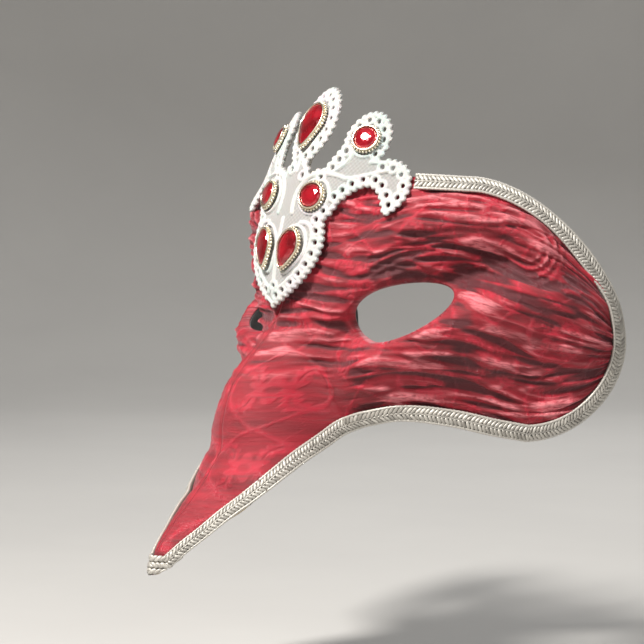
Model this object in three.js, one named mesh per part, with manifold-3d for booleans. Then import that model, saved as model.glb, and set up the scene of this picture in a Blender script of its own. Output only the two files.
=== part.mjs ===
// A long-nosed Venetian half mask: a moulded papier-mache shell covered with two damask panels and lined with
// felt, edged with a metallic braid, and crowned by a stiffened lace crest set with red stones. A small D-ring on
// a sewn tab inside each temple takes the wearer's tie.
//
// Millimetres, +Z up. The mask looks along -Y and the wearer's left is +X. The origin is where the lining meets
// the bridge of the wearer's nose. Most of it is written in face coordinates: an angle in degrees round an
// upright axis inside the head (0 straight ahead, positive to +X) and a height z.
import * as THREE from "three";
import { mergeVertices } from "three/addons/utils/BufferGeometryUtils.js";
import { TessellateModifier } from "three/addons/modifiers/TessellateModifier.js";
import Module from "manifold-3d";

const wasm = await Module();
wasm.setup();

// ---------- driving dimensions ----------
const FACE_DEPTH = 100; // from the upright axis to the brow's front
const FACE_HALF_WIDTH = 79; // from the axis to the mask's side
const SQUARENESS = 1.8; // 2 is an ellipse seen from above, less is more pointed
const FOREHEAD_TAPER = 152; // heights over which the face would close, above and below eye level
const CHEEK_TAPER = 150;

const REAR_ANGLE = 88; // the outline's rearmost angle, beside the ear
const REAR_Z = -14; // and its height
const NOSE_BLEND = 13; // how softly the nose's sides run into the cheeks
const COLUMNS = 23; // of each side's mesh
const ROWS = 17;

const COVER = { out: 0, in: 0.6 }; // depths of each layer below the outermost surface
const SHELL = { out: 0.9, in: 2.9 };
const LINING = { out: 3.2, in: 3.8 };
const LINING_END = -68; // the felt stops where the beak narrows
const GAP = 0.3; // between pieces that touch

const BRAID_WIDTH = 6;
const BRAID_THICK = 1.7;
const BRAID_OVERHANG = 0.6; // past the mask's edge
const BRAID_FOOT = 0.9; // height of its underside over the damask
const BRAID_TOP_END = 31.5; // angle where the upper braid goes under the crest's arm
const BRAID_JOINT = 9.5; // angle on the nose's lower edge where the two braids meet
const BRAID_TIP = 0.972; // share of the edge's length where the nose's braid stops
const TIP_WRAP = { out: -2.1, in: -0.5, top: -85 }; // the turn of braid round the nose's tip

const EYE = { angle: 28.5, z: 0.5, halfLength: 20, halfHeight: 9.5, slant: 17 }; // slant in degrees

const CREST_RADIUS = 95; // flattens the crest's pattern: arc length = angle * this
const BACKING = { from: 0.4, thick: 0.8 };
const LACE = { from: 1.5, thick: 1.8 };

const RING_WIRE = 1; // radius of the D-ring's wire
const RING_BOW = 8; // half its height and how far the bow reaches past the corners, to the wire's centre
const RING_REACH = 9.5;
const RING_REST = 14; // degrees the ring leans off the wall
const TAB_SEAT = { angle: 66, span: 10, z: -4, standoff: 3.4 }; // of the D-ring's bar
const TAB_HEIGHT = 10;
const TAB_LENGTH = 13;
const TAB_THICK = 1.6;

// ---------- small tools ----------
const rad = THREE.MathUtils.degToRad;
const deg = THREE.MathUtils.radToDeg;
const step = THREE.MathUtils.smoothstep;
const lerp = THREE.MathUtils.lerp;
const hill = (x, width) => Math.exp(-((x / width) ** 2));
const lopsided = (x, below, above) => hill(x, x < 0 ? below : above);

// A smooth curve y(x) through points sorted by x.
function through(points, x) {
  const last = points.length - 1;
  if (x <= points[0][0]) return points[0][1];
  if (x >= points[last][0]) return points[last][1];
  const i = points.findIndex((p) => p[0] > x) - 1;
  const slope = (k) => {
    const a = points[Math.max(k - 1, 0)];
    const b = points[Math.min(k + 1, last)];
    return (b[1] - a[1]) / (b[0] - a[0]);
  };
  const [x0, y0] = points[i];
  const [x1, y1] = points[i + 1];
  const span = x1 - x0;
  const t = (x - x0) / span;
  const rise = 2 * t ** 3 - 3 * t ** 2 + 1;
  return (
    rise * y0 +
    (1 - rise) * y1 +
    (t ** 3 - 2 * t ** 2 + t) * span * slope(i) +
    (t ** 3 - t ** 2) * span * slope(i + 1)
  );
}

function smoothMax(a, b, blend) {
  const near = Math.max(blend - Math.abs(a - b), 0) / blend;
  return Math.max(a, b) + (near ** 2 * blend) / 4;
}

// ---------- the face's surface, as a distance from the upright axis ----------
function skull(angle, z) {
  const side = Math.abs(Math.sin(rad(angle))) / FACE_HALF_WIDTH;
  const front = Math.abs(Math.cos(rad(angle))) / FACE_DEPTH;
  const level = (side ** SQUARENESS + front ** SQUARENESS) ** (-1 / SQUARENESS);
  return level * (1 - (z / (z > 0 ? FOREHEAD_TAPER : CHEEK_TAPER)) ** 2);
}

// Brow ridge: an arch over the eye that ends in a roll at the temple.
function brow(angle, z) {
  const line = 33 - 16 * ((angle - 40) / 26) ** 2;
  return 5 * lopsided(z - line, 6, 11) * step(angle, 14, 32) * (1 - step(angle, 61, 73));
}

// Cheekbone: a ridge from beside the nose, close under the eye and back to the temple.
const CHEEKBONE = [[12, -26], [23, -16], [32, -8.5], [42, -2.5], [54, 4.5], [68, 3.5], [88, -4]];

function cheekbone(angle, z) {
  const height = 4.5 + 3 * hill(angle - 28, 16);
  return height * lopsided(z - through(CHEEKBONE, angle), 14, 8) * step(angle, 9, 24) * (1 - step(angle, 74, 88));
}

// Eye socket: a long hollow over the cheekbone.
function socket(angle, z) {
  const line = through(CHEEKBONE, angle) + 14;
  return -7 * hill(z - line, 10) * step(angle, 6, 20) * (1 - step(angle, 38, 72));
}

const hollowCheek = (angle, z) => -2.5 * hill(angle - 48, 20) * hill(z + 31, 9);
const noseRoot = (angle, z) => -1.5 * hill(angle, 9) * hill(z - 2, 11);

// Nose: how far its ridge stands before the axis circle, and the half width where its sides have fallen back
// 20 mm, both by height. The bulb ends in a slanting crease, and a thin beak goes on below.
const RIDGE = [
  [-92, 57], [-84, 55], [-75.3, 48.5], [-68.2, 41.3], [-62.4, 35.8], [-55.4, 30.5], [-49.5, 26.8],
  [-41.5, 26.3], [-32.2, 24], [-24.4, 20], [-15.7, 12], [-8, 3.5], [0, -6], [10, -17], [20, -30],
];
const NOSE_WIDTH = [
  [-92, 7], [-84, 8.5], [-76, 10.5], [-68, 13.3], [-60, 16.3], [-53, 18.8], [-46, 20], [-36, 18.5],
  [-24, 15.5], [-8, 12],
];
const NOSE_ROUNDNESS = [[-92, 1.35], [-76, 1.45], [-60, 1.7], [-46, 2.05], [-34, 2.1], [-20, 1.8], [-6, 1.6]];
const CREASE_SLANT = 0.7;
const CREASE_Z = -59;

function nose(angle, z) {
  const x = 100 * Math.sin(rad(angle));
  const slanted = z + CREASE_SLANT * x;
  const width = through(NOSE_WIDTH, slanted);
  const fall = 20 * (x / width) ** through(NOSE_ROUNDNESS, slanted);
  const crease = 1.3 * hill(slanted - CREASE_Z, 3) * step(x, 0, 4) * (1 - step(x, 8, 14));
  return (FACE_DEPTH + through(RIDGE, z) - fall - crease) / Math.cos(rad(angle));
}

function maskRadius(signedAngle, z) {
  const angle = Math.abs(signedAngle);
  const face =
    skull(angle, z) + brow(angle, z) + socket(angle, z) + cheekbone(angle, z) + hollowCheek(angle, z) +
    noseRoot(angle, z);
  return angle < 60 ? smoothMax(face, nose(angle, z), NOSE_BLEND) : face;
}

// The crest bridges the hollow at the nose's root and stands on up past the mask's edge.
const crestRadius = (angle, z) => skull(angle, z) + brow(Math.abs(angle), z);

// ---------- the mask's outline ----------
const LOWER_EDGE = [
  [0, -92.5], [1.2, -90], [3.2, -82.5], [6.2, -72.5], [9.6, -63], [11, -58.2], [12.2, -51.8], [13.3, -46.4],
  [14.5, -44], [16.5, -42.5], [20, -40.6], [28, -38.6], [40, -40.8], [50, -44], [60, -46.5],
];
const UPPER_EDGE = [[0, 46], [20, 48.5], [45, 47]];
const UPPER_FALL = 1.65;

function lowerEdge(signedAngle) {
  const angle = Math.abs(signedAngle);
  if (angle < 60) return through(LOWER_EDGE, angle);
  const along = Math.min((angle - 60) / (REAR_ANGLE - 60), 1);
  return REAR_Z - 32.5 * Math.sqrt(1 - along ** 2);
}

function upperEdge(signedAngle) {
  const angle = Math.abs(signedAngle);
  if (angle < 45) return through(UPPER_EDGE, angle);
  const along = Math.min((angle - 45) / (REAR_ANGLE - 45), 1);
  return REAR_Z + 61 * (1 - along ** UPPER_FALL) ** (1 / UPPER_FALL);
}

// ---------- points on and under the surface ----------
const fromAxis = (angle, z, radius) => new THREE.Vector3(radius * Math.sin(rad(angle)), -radius * Math.cos(rad(angle)), z);

// The surface's directions at a point: `across` per degree of angle, `up` per millimetre of height, `out` its normal.
function tangents(angle, z, radiusOf = maskRadius) {
  const at = (a, h) => fromAxis(a, h, radiusOf(a, h));
  const across = at(angle + 0.2, z).sub(at(angle - 0.2, z)).divideScalar(0.4);
  const up = at(angle, z + 0.3).sub(at(angle, z - 0.3)).divideScalar(0.6);
  return { across, up, out: across.clone().cross(up).normalize() };
}

// How much further a ray from the axis goes through a layer than straight through it.
function slantFactor(angle, z) {
  const facing = tangents(angle, z).out.dot(fromAxis(angle, 0, 1));
  return Math.min(1 / Math.max(facing, 0.05), 3.2);
}

const AXIS_Y = maskRadius(0, 0) - LINING.in * slantFactor(0, 0);
const inSpace = (angle, z, radius) => fromAxis(angle, z, radius).setY(AXIS_Y - radius * Math.cos(rad(angle)));
const onMask = (angle, z) => inSpace(angle, z, maskRadius(angle, z));

// The angle and height a given distance along the surface from a point, heading in a direction of space.
function walk(angle, z, heading, distance) {
  const steps = 3;
  let [a, h] = [angle, z];
  for (let i = 0; i < steps; i++) {
    const { across, up } = tangents(a, h);
    const [aa, au, uu] = [across.dot(across), across.dot(up), up.dot(up)];
    const [ha, hu] = [heading.dot(across), heading.dot(up)];
    const size = aa * uu - au * au;
    const [da, dh] = [(ha * uu - hu * au) / size, (hu * aa - ha * au) / size];
    const length = across.clone().multiplyScalar(da).addScaledVector(up, dh).length();
    a += (da * distance) / steps / length;
    h += (dh * distance) / steps / length;
  }
  return [a, h];
}

// A point at a depth under the outermost surface, straight in from (angle, z). The nose's two sides never cross.
function layerPoint(angle, z, depth) {
  if (depth === 0) return onMask(angle, z);
  const inside = onMask(angle, z).addScaledVector(tangents(angle, z).out, -depth);
  const moved = deg(Math.atan2(inside.x, AXIS_Y - inside.y));
  const kept = Math.sign(angle) * Math.max(Math.abs(angle) * 0.35, moved * Math.sign(angle));
  const radius = maskRadius(kept, inside.z) - depth * slantFactor(kept, inside.z);
  return inSpace(kept, inside.z, radius);
}

// ---------- meshes ----------
function geometryOf(vertices, triangles) {
  const flat = new Float32Array(vertices.flatMap((v) => [v.x, v.y, v.z]));
  return new THREE.BufferGeometry().setAttribute("position", new THREE.BufferAttribute(flat, 3)).setIndex(triangles);
}

function solidOf(geometry) {
  const bare = geometry.clone();
  bare.deleteAttribute("normal");
  bare.deleteAttribute("uv");
  const merged = mergeVertices(bare, 1e-4);
  const mesh = new wasm.Mesh({
    numProp: 3,
    vertProperties: merged.attributes.position.array,
    triVerts: new Uint32Array(merged.index.array),
  });
  return new wasm.Manifold(mesh);
}

function geometryFrom(solid) {
  const { vertProperties, triVerts } = solid.getMesh();
  return new THREE.BufferGeometry()
    .setAttribute("position", new THREE.BufferAttribute(vertProperties, 3))
    .setIndex(new THREE.BufferAttribute(triVerts, 1));
}

// Rings of points, joined in order; open runs get flat end caps, closed ones join round.
function loft(rings, closed = false) {
  const around = rings[0].length;
  const triangles = [];
  const spans = closed ? rings.length : rings.length - 1;
  for (let i = 0; i < spans; i++) {
    const here = i * around;
    const next = ((i + 1) % rings.length) * around;
    for (let j = 0; j < around; j++) {
      const k = (j + 1) % around;
      triangles.push(here + j, here + k, next + k, here + j, next + k, next + j);
    }
  }
  if (!closed) {
    const end = (rings.length - 1) * around;
    for (let j = 1; j < around - 1; j++) triangles.push(0, j + 1, j, end, end + j, end + j + 1);
  }
  const solid = solidOf(geometryOf(rings.flat(), triangles));
  if (solid.volume() > 0) return geometryOf(rings.flat(), triangles);
  const turned = triangles.map((_, i) => triangles[i - (i % 3) + (2 - (i % 3))]);
  return geometryOf(rings.flat(), turned);
}

// A closed sheet between two depths, over a list of column angles, from the lower edge to the upper one or to
// `ceiling`. Both of its faces split each square along the outer face's shorter diagonal.
function sheet(angles, layer, ceiling = Infinity) {
  const faces = [layer.out, layer.in].map((depth) =>
    angles.map((angle) => {
      const low = lowerEdge(angle);
      const high = Math.min(upperEdge(angle), ceiling);
      return Array.from({ length: ROWS + 1 }, (_, j) => layerPoint(angle, lerp(low, high, j / ROWS), depth));
    }),
  );
  const last = angles.length - 1;
  const index = (face, i, j) => (face * angles.length + i) * (ROWS + 1) + j;
  const triangles = [];
  const quad = (a, b, c, d, alongAc = true) => {
    if (alongAc) triangles.push(a, b, c, a, c, d);
    else triangles.push(a, b, d, b, c, d);
  };
  for (let i = 0; i < last; i++) {
    for (let j = 0; j < ROWS; j++) {
      const [here, next] = [faces[0][i], faces[0][i + 1]];
      const rising = here[j].distanceTo(next[j + 1]) < next[j].distanceTo(here[j + 1]);
      quad(index(0, i, j), index(0, i + 1, j), index(0, i + 1, j + 1), index(0, i, j + 1), rising);
      quad(index(1, i, j), index(1, i, j + 1), index(1, i + 1, j + 1), index(1, i + 1, j), rising);
    }
    quad(index(0, i, 0), index(1, i, 0), index(1, i + 1, 0), index(0, i + 1, 0));
    quad(index(0, i, ROWS), index(0, i + 1, ROWS), index(1, i + 1, ROWS), index(1, i, ROWS));
  }
  for (let j = 0; j < ROWS; j++) {
    quad(index(0, 0, j), index(0, 0, j + 1), index(1, 0, j + 1), index(1, 0, j));
    quad(index(0, last, j), index(1, last, j), index(1, last, j + 1), index(0, last, j + 1));
  }
  return geometryOf(faces.flat(2), triangles);
}

const rearTurns = Array.from({ length: 81 }, (_, i) => REAR_ANGLE * Math.sin((Math.PI / 2) * (i / 80) ** 1.4));

// Column angles, evenly spaced along the lower edge from `first` to just short of its rear end.
function columnAngles(first) {
  const edge = new THREE.CatmullRomCurve3(rearTurns.map((a) => onMask(a, lowerEdge(a))));
  edge.arcLengthDivisions = 400;
  return Array.from({ length: COLUMNS + 1 }, (_, i) => {
    const at = edge.getPointAt((0.975 * i) / COLUMNS);
    return Math.max(deg(Math.atan2(at.x, AXIS_Y - at.y)), first);
  });
}
const mirrored = (angles) => angles.map((a) => -a).reverse();

// The eye opening, as a plug along rays from the axis.
function eyePlug(side, grow) {
  const points = 30;
  const ring = (radius) =>
    Array.from({ length: points }, (_, i) => {
      const turn = (2 * Math.PI * i) / points;
      const along = EYE.halfLength * grow * Math.cos(turn);
      const across = EYE.halfHeight * grow * Math.sin(turn) * (1 - 0.22 * Math.cos(turn));
      const slant = rad(EYE.slant);
      const sideways = along * Math.cos(slant) - across * Math.sin(slant);
      const upwards = along * Math.sin(slant) + across * Math.cos(slant);
      return inSpace(side * (EYE.angle + deg(sideways / 90)), EYE.z + upwards, radius);
    });
  return solidOf(loft([ring(60), ring(75), ring(90), ring(112)]));
}

// What is left of a geometry above a height.
function above(geometry, z) {
  const box = new THREE.BoxGeometry(200, 300, 200).translate(0, 0, z - 100);
  return geometryFrom(solidOf(geometry).subtract(solidOf(box)));
}

function withEyes(geometry, sides, grow = 1) {
  const cut = sides.reduce((solid, side) => solid.subtract(eyePlug(side, grow)), solidOf(geometry));
  return geometryFrom(cut);
}

// ---------- braid ----------
// The mask's edge as a smooth run of (angle, z), from the crest's arm round the temple to the nose's tip.
const EDGE = (() => {
  const top = rearTurns.filter((a) => a > BRAID_TOP_END && a < REAR_ANGLE).map((a) => [a, upperEdge(a)]);
  const bottom = rearTurns.map((a) => [a, lowerEdge(a)]).reverse();
  const points = [...top, ...bottom];
  const path = new THREE.SplineCurve(points.map(([a, z]) => new THREE.Vector2(rad(a) * CREST_RADIUS, z)));
  path.arcLengthDivisions = 600;
  return path;
})();

function edgeAt(share, side) {
  const at = (t) => {
    const p = EDGE.getPointAt(THREE.MathUtils.clamp(t, 0, 1));
    return [side * deg(p.x / CREST_RADIUS), p.y];
  };
  const ahead = onMask(...at(share + 0.004)).sub(onMask(...at(share - 0.004)));
  return { point: at(share), ahead };
}

// A ring round the braid's section: a foot that follows the surface, and a domed back.
function braidRing(share, side) {
  const { point, ahead } = edgeAt(share, side);
  const inward = ahead.cross(tangents(...point).out).normalize().multiplyScalar(side);
  const places = [-BRAID_OVERHANG, BRAID_WIDTH / 2 - BRAID_OVERHANG, BRAID_WIDTH - BRAID_OVERHANG];
  const lines = places.map((distance) => {
    const [a, z] = walk(...point, inward, distance);
    return { at: onMask(a, z), out: tangents(a, z).out };
  });
  const lift = ({ at, out }, height) => at.clone().addScaledVector(out, height);
  const edgeTop = BRAID_FOOT + 0.6 * BRAID_THICK;
  return [
    ...lines.map((line) => lift(line, BRAID_FOOT)),
    lift(lines[2], edgeTop),
    lift(lines[1], BRAID_FOOT + BRAID_THICK),
    lift(lines[0], edgeTop),
  ];
}

function braid(fromShare, toShare, stations, side) {
  return loft(Array.from({ length: stations + 1 }, (_, i) => braidRing(lerp(fromShare, toShare, i / stations), side)));
}

const shareAtAngle = (angle) => {
  const shares = Array.from({ length: 401 }, (_, i) => i / 400);
  return shares.find((t) => t > 0.5 && deg(EDGE.getPointAt(t).x / CREST_RADIUS) < angle);
};

// ---------- crest ----------
// Its pattern is drawn flat: x is arc length from the middle, y is height.
function disc(x, y, radius) {
  const shape = new THREE.Shape();
  shape.absarc(x, y, radius, 0, 2 * Math.PI);
  return shape;
}

function tongue() {
  const shape = new THREE.Shape();
  shape.moveTo(0, 1);
  shape.bezierCurveTo(8, 6, 18, 14, 19, 24);
  shape.bezierCurveTo(19.5, 30, 16, 33, 20, 36);
  shape.lineTo(20, 46);
  shape.lineTo(-20, 46);
  shape.lineTo(-20, 36);
  shape.bezierCurveTo(-16, 33, -19.5, 30, -19, 24);
  shape.bezierCurveTo(-18, 14, -8, 6, 0, 1);
  return shape;
}

function topDrop(grow = 0) {
  const shape = new THREE.Shape();
  shape.moveTo(0, 48 - grow);
  shape.bezierCurveTo(4, 55, 11 + grow, 58, 11 + grow, 67);
  shape.bezierCurveTo(11 + grow, 75, 5, 80 + grow, 0, 80 + grow);
  shape.bezierCurveTo(-5, 80 + grow, -11 - grow, 75, -11 - grow, 67);
  shape.bezierCurveTo(-11 - grow, 58, -4, 55, 0, 48 - grow);
  return shape;
}

// The arm: a leaf that leaves the body, arches over the brow and hooks down to a point.
function arm(side) {
  const shape = new THREE.Shape();
  shape.moveTo(side * 14, 37);
  shape.bezierCurveTo(side * 21, 33, side * 24, 44, side * 33, 45);
  shape.bezierCurveTo(side * 38, 45, side * 39.5, 40, side * 42, 34.5);
  shape.bezierCurveTo(side * 49, 38, side * 51, 43, side * 49, 49);
  shape.bezierCurveTo(side * 46, 55, side * 38, 54, side * 30, 54);
  shape.bezierCurveTo(side * 22, 53, side * 17, 52, side * 10, 48);
  return shape;
}

// The neck that carries a round lobe.
function neck(side) {
  const shape = new THREE.Shape();
  shape.moveTo(side * 11, 46);
  shape.lineTo(side * 30, 46);
  shape.lineTo(side * 36, 60);
  shape.lineTo(side * 24, 66);
  return shape;
}

// A flat shape raised to a plate, its triangles made small, and bent on to the crest's surface.
function bent(shapes, holes, layer, longestEdge) {
  const raise = (shape, depth, from) => {
    const plate = new THREE.ExtrudeGeometry(shape, { depth, bevelEnabled: false, curveSegments: 7 });
    return solidOf(plate.translate(0, 0, from));
  };
  const body = shapes.map((s) => raise(s, layer.thick, 0)).reduce((a, b) => a.add(b));
  const pierced = holes.map((h) => raise(h, layer.thick + 2, -1)).reduce((a, b) => a.subtract(b), body);
  const fine = new TessellateModifier(longestEdge, 8).modify(geometryFrom(pierced).toNonIndexed());
  const position = fine.getAttribute("position");
  for (let i = 0; i < position.count; i++) {
    const at = onCrest(position.getX(i), position.getY(i), layer.from + position.getZ(i));
    position.setXYZ(i, at.x, at.y, at.z);
  }
  return mergeVertices(fine, 1e-3);
}

function onCrest(x, y, out) {
  const angle = deg(x / CREST_RADIUS);
  return inSpace(angle, y, crestRadius(angle, y) + out);
}

function laceCrest() {
  const shapes = [
    tongue(), topDrop(), disc(13, 41, 9.5), disc(-13, 41, 9.5), disc(0, 47, 7),
    disc(29, 61.5, 9.5), disc(-29, 61.5, 9.5), arm(1), arm(-1), neck(1), neck(-1),
  ];
  const holes = [disc(0, 8.5, 1), disc(41.5, 48, 1.6), disc(-41.5, 48, 1.6)];
  return bent(shapes, holes, LACE, 9);
}

function crestBacking() {
  const bridge = new THREE.Shape();
  bridge.moveTo(-24, 41);
  bridge.lineTo(24, 41);
  bridge.lineTo(24, 50);
  bridge.lineTo(4, 50);
  bridge.lineTo(4, 66);
  bridge.lineTo(-4, 66);
  bridge.lineTo(-4, 50);
  bridge.lineTo(-24, 50);
  return bent([bridge, topDrop(-2.5), disc(29, 61.5, 7), disc(-29, 61.5, 7), spoke(1), spoke(-1)], [], BACKING, 8);
}

function spoke(side) {
  const shape = new THREE.Shape();
  shape.moveTo(side * 15, 46);
  shape.lineTo(side * 23, 44);
  shape.lineTo(side * 34, 60);
  shape.lineTo(side * 26, 64);
  return shape;
}

// ---------- stones ----------
// Each stone stands on the lace. `point` draws its foot out to a point below, as a drop has.
const STONES = {
  top_drop: { x: 0, y: 67, halfWidth: 5, halfHeight: 7.6, point: 0.9, height: 3.2, lean: 0 },
  lobe_left: { x: 29, y: 61.5, halfWidth: 4.2, halfHeight: 4.2, point: 0, height: 2.8, lean: 0 },
  lobe_right: { x: -29, y: 61.5, halfWidth: 4.2, halfHeight: 4.2, point: 0, height: 2.8, lean: 0 },
  middle_left: { x: 12.5, y: 41, halfWidth: 4.3, halfHeight: 4.3, point: 0, height: 2.8, lean: 0 },
  middle_right: { x: -12.5, y: 41, halfWidth: 4.3, halfHeight: 4.3, point: 0, height: 2.8, lean: 0 },
  tongue_left: { x: 6.6, y: 22.5, halfWidth: 4, halfHeight: 6.2, point: 0.9, height: 2.8, lean: -16 },
  tongue_right: { x: -6.6, y: 22.5, halfWidth: 4, halfHeight: 6.2, point: 0.9, height: 2.8, lean: 16 },
};
const STONE_SIDES = 12;

// A ring of points round a stone's outline, at a height over the lace.
function stoneRing(stone, grow, height) {
  return Array.from({ length: STONE_SIDES }, (_, i) => {
    const turn = (2 * Math.PI * i) / STONE_SIDES;
    const low = Math.max(-Math.sin(turn), 0);
    const x = (stone.halfWidth + grow) * Math.cos(turn) * (1 - 0.35 * stone.point * low);
    const y = (stone.halfHeight + grow) * Math.sin(turn) * (1 + 0.2 * stone.point * low ** 3);
    return new THREE.Vector3(x, y, height);
  });
}

function cutStone(stone) {
  const scaled = (share, height) => stoneRing(stone, 0, height).map((p) => new THREE.Vector3(p.x * share, p.y * share, height));
  return loft([scaled(0.7, 0.9), scaled(1, 1.5), scaled(0.6, stone.height)]);
}

// The cup: a floor under the stone and a wall round its girdle.
function stoneCup(stone) {
  const wall = 0.8;
  const outer = (height) => stoneRing(stone, GAP + wall, height);
  const inner = (height) => stoneRing(stone, GAP, height);
  return loft([
    stoneRing(stone, -0.45 * stone.halfWidth, GAP), outer(GAP), outer(1.7), inner(1.9), inner(0.6),
    stoneRing(stone, -0.45 * stone.halfWidth, 0.6),
  ], true);
}

// A group standing on the crest at (x, y), facing out and turned by `lean` degrees.
function seatOnCrest({ x, y, lean }) {
  const { out } = tangents(deg(x / CREST_RADIUS), y, crestRadius);
  const sideways = new THREE.Vector3(0, 0, 1).cross(out).normalize();
  const up = out.clone().cross(sideways);
  const group = new THREE.Group();
  group.applyMatrix4(new THREE.Matrix4().makeBasis(sideways, up, out));
  group.rotateZ(rad(lean));
  group.position.copy(onCrest(x, y, LACE.from + LACE.thick + 0.35));
  return group;
}

// ---------- inside ----------
// A foam strip across the forehead, lying on the lining.
function browPad() {
  const halfSpan = 34;
  const rings = Array.from({ length: 17 }, (_, i) => {
    const angle = lerp(-halfSpan, halfSpan, i / 16);
    const ends = Math.sqrt(1 - (0.97 * angle / halfSpan) ** 4);
    const half = 7 * ends;
    const deep = LINING.in + GAP + 0.8;
    const middle = 36;
    return [[-half, 0], [half, 0], [0.8 * half, 4 * ends], [-0.8 * half, 4 * ends]].map(([rise, thick]) =>
      layerPoint(angle, middle + rise, deep + thick));
  });
  return loft(rings);
}

// The seat of a tie: its middle is the D-ring's bar, x runs back along the wall, y off the wall and z up it.
function tieSeat(side) {
  const wall = (angle, rise) => layerPoint(angle, TAB_SEAT.z + rise, LINING.in);
  const up = wall(TAB_SEAT.angle, TAB_HEIGHT / 2).sub(wall(TAB_SEAT.angle, -TAB_HEIGHT / 2)).normalize();
  const back = wall(TAB_SEAT.angle, 0).sub(wall(TAB_SEAT.angle - TAB_SEAT.span, 0));
  const away = up.clone().cross(back).normalize();
  const seat = new THREE.Group();
  seat.applyMatrix4(new THREE.Matrix4().makeBasis(away.clone().cross(up), away, up));
  seat.position.copy(wall(TAB_SEAT.angle, 0)).addScaledVector(away, TAB_SEAT.standoff);
  const holder = new THREE.Group();
  holder.scale.x = side;
  holder.add(seat);
  return { holder, seat };
}

// Sewn tab: a folded tape, flat where it is sewn down, that loops round the D-ring's bar.
function tieTab() {
  const eye = RING_WIRE + 0.35;
  const outside = eye + 0.9;
  const top = -outside + TAB_THICK;
  const shape = new THREE.Shape();
  shape.moveTo(-TAB_LENGTH, -outside);
  shape.lineTo(0, -outside);
  shape.absarc(0, 0, outside, -Math.PI / 2, Math.PI * 0.8, false);
  shape.lineTo(-outside - 2.2, top);
  shape.lineTo(-TAB_LENGTH, top);
  const hole = new THREE.Path();
  hole.absarc(0, 0, eye, 0, 2 * Math.PI, true);
  shape.holes.push(hole);
  const plate = new THREE.ExtrudeGeometry(shape, { depth: TAB_HEIGHT, bevelEnabled: false, curveSegments: 9 });
  return plate.translate(0, 0, -TAB_HEIGHT / 2);
}

// D-ring: an upright bar and a half-round bow, resting a little off the wall.
function dRing() {
  const bow = Array.from({ length: 11 }, (_, i) => {
    const turn = lerp(-Math.PI / 2, Math.PI / 2, i / 10);
    return [2 + RING_REACH * Math.cos(turn), RING_BOW * Math.sin(turn)];
  });
  const line = [[0, 1 - RING_BOW], [0.6, 0.2 - RING_BOW], ...bow, [0.6, RING_BOW - 0.2], [0, RING_BOW - 1]];
  const rest = rad(RING_REST);
  const path = line.map(([x, z]) => new THREE.Vector3(x * Math.cos(rest), x * Math.sin(rest), z));
  const flat = new THREE.Vector3(-Math.sin(rest), Math.cos(rest), 0);
  const rings = path.map((point, i) => {
    const before = path[(i + path.length - 1) % path.length];
    const after = path[(i + 1) % path.length];
    const across = flat.clone().cross(after.clone().sub(before)).normalize();
    return Array.from({ length: 8 }, (_, k) => {
      const turn = (2 * Math.PI * k) / 8;
      const offset = across.clone().multiplyScalar(RING_WIRE * Math.cos(turn));
      return point.clone().add(offset).addScaledVector(flat, RING_WIRE * Math.sin(turn));
    });
  });
  return loft(rings, true);
}

// ---------- materials ----------
const finish = (color, roughness, metalness = 0) => new THREE.MeshStandardMaterial({ color, roughness, metalness });
const DAMASK = finish(0xa81c2c, 0.55);
const PAPIER_MACHE = finish(0xcdbfa4, 0.9);
const FELT = finish(0x14110f, 0.95);
const BRAID_MATERIAL = finish(0xcfc6b2, 0.45, 0.4);
const LACE_MATERIAL = finish(0xf0ece4, 0.8);
const BUCKRAM = finish(0xe2ddd0, 0.9);
const STONE_MATERIAL = finish(0xb0152a, 0.1);
const CUP_MATERIAL = finish(0xe6d9c2, 0.35, 0.8);
const TAPE = finish(0x1b1919, 0.85);
const NICKEL = finish(0xb9b9b4, 0.3, 1);

// ---------- assembly ----------
const mask = new THREE.Group();
function place(name, geometry, material, parent = mask) {
  const mesh = new THREE.Mesh(geometry, material);
  mesh.name = name;
  parent.add(mesh);
}

const half = columnAngles(0.09);
const whole = [...mirrored(columnAngles(0).slice(1)), ...columnAngles(0)];
place("shell", withEyes(sheet(whole, SHELL), [1, -1]), PAPIER_MACHE);
place("lining", withEyes(above(sheet(whole, LINING), LINING_END), [1, -1], 1.03), FELT);
place("cover_left", withEyes(sheet(half, COVER), [1]), DAMASK);
place("cover_right", withEyes(sheet(mirrored(half), COVER), [-1]), DAMASK);
place("brow_pad", browPad(), FELT);

const joint = shareAtAngle(BRAID_JOINT);
for (const [name, side] of [["left", 1], ["right", -1]]) {
  place(`braid_face_${name}`, braid(0, joint - 0.001, 50, side), BRAID_MATERIAL);
  place(`braid_nose_${name}`, braid(joint + 0.001, BRAID_TIP, 20, side), BRAID_MATERIAL);
}

const tip = whole.filter((a) => lowerEdge(a) < TIP_WRAP.top - 1);
place("braid_tip", sheet(tip, TIP_WRAP, TIP_WRAP.top), BRAID_MATERIAL);

place("crest_lace", laceCrest(), LACE_MATERIAL);
place("crest_backing", crestBacking(), BUCKRAM);
for (const [name, stone] of Object.entries(STONES)) {
  const seat = seatOnCrest(stone);
  place(`cup_${name}`, stoneCup(stone), CUP_MATERIAL, seat);
  place(`stone_${name}`, cutStone(stone), STONE_MATERIAL, seat);
  mask.add(seat);
}

for (const [name, side] of [["left", 1], ["right", -1]]) {
  const { holder, seat } = tieSeat(side);
  place(`tie_tab_${name}`, tieTab(), TAPE, seat);
  place(`tie_ring_${name}`, dRing(), NICKEL, seat);
  mask.add(holder);
}

export default mask;
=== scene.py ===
"""A long-nosed Venetian half mask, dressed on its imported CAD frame.

Two damask panels are stretched over a papier-mache shell lined with felt. A plaited braid runs round the
edge, and a stiffened lace crest carries seven red stones. Lengths are in millimetres until a mesh is made.
Most shapes are written in face coordinates: an angle in degrees round an upright axis inside the head (0 is
straight ahead, positive to +X) and a height z.
"""

import math

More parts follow.
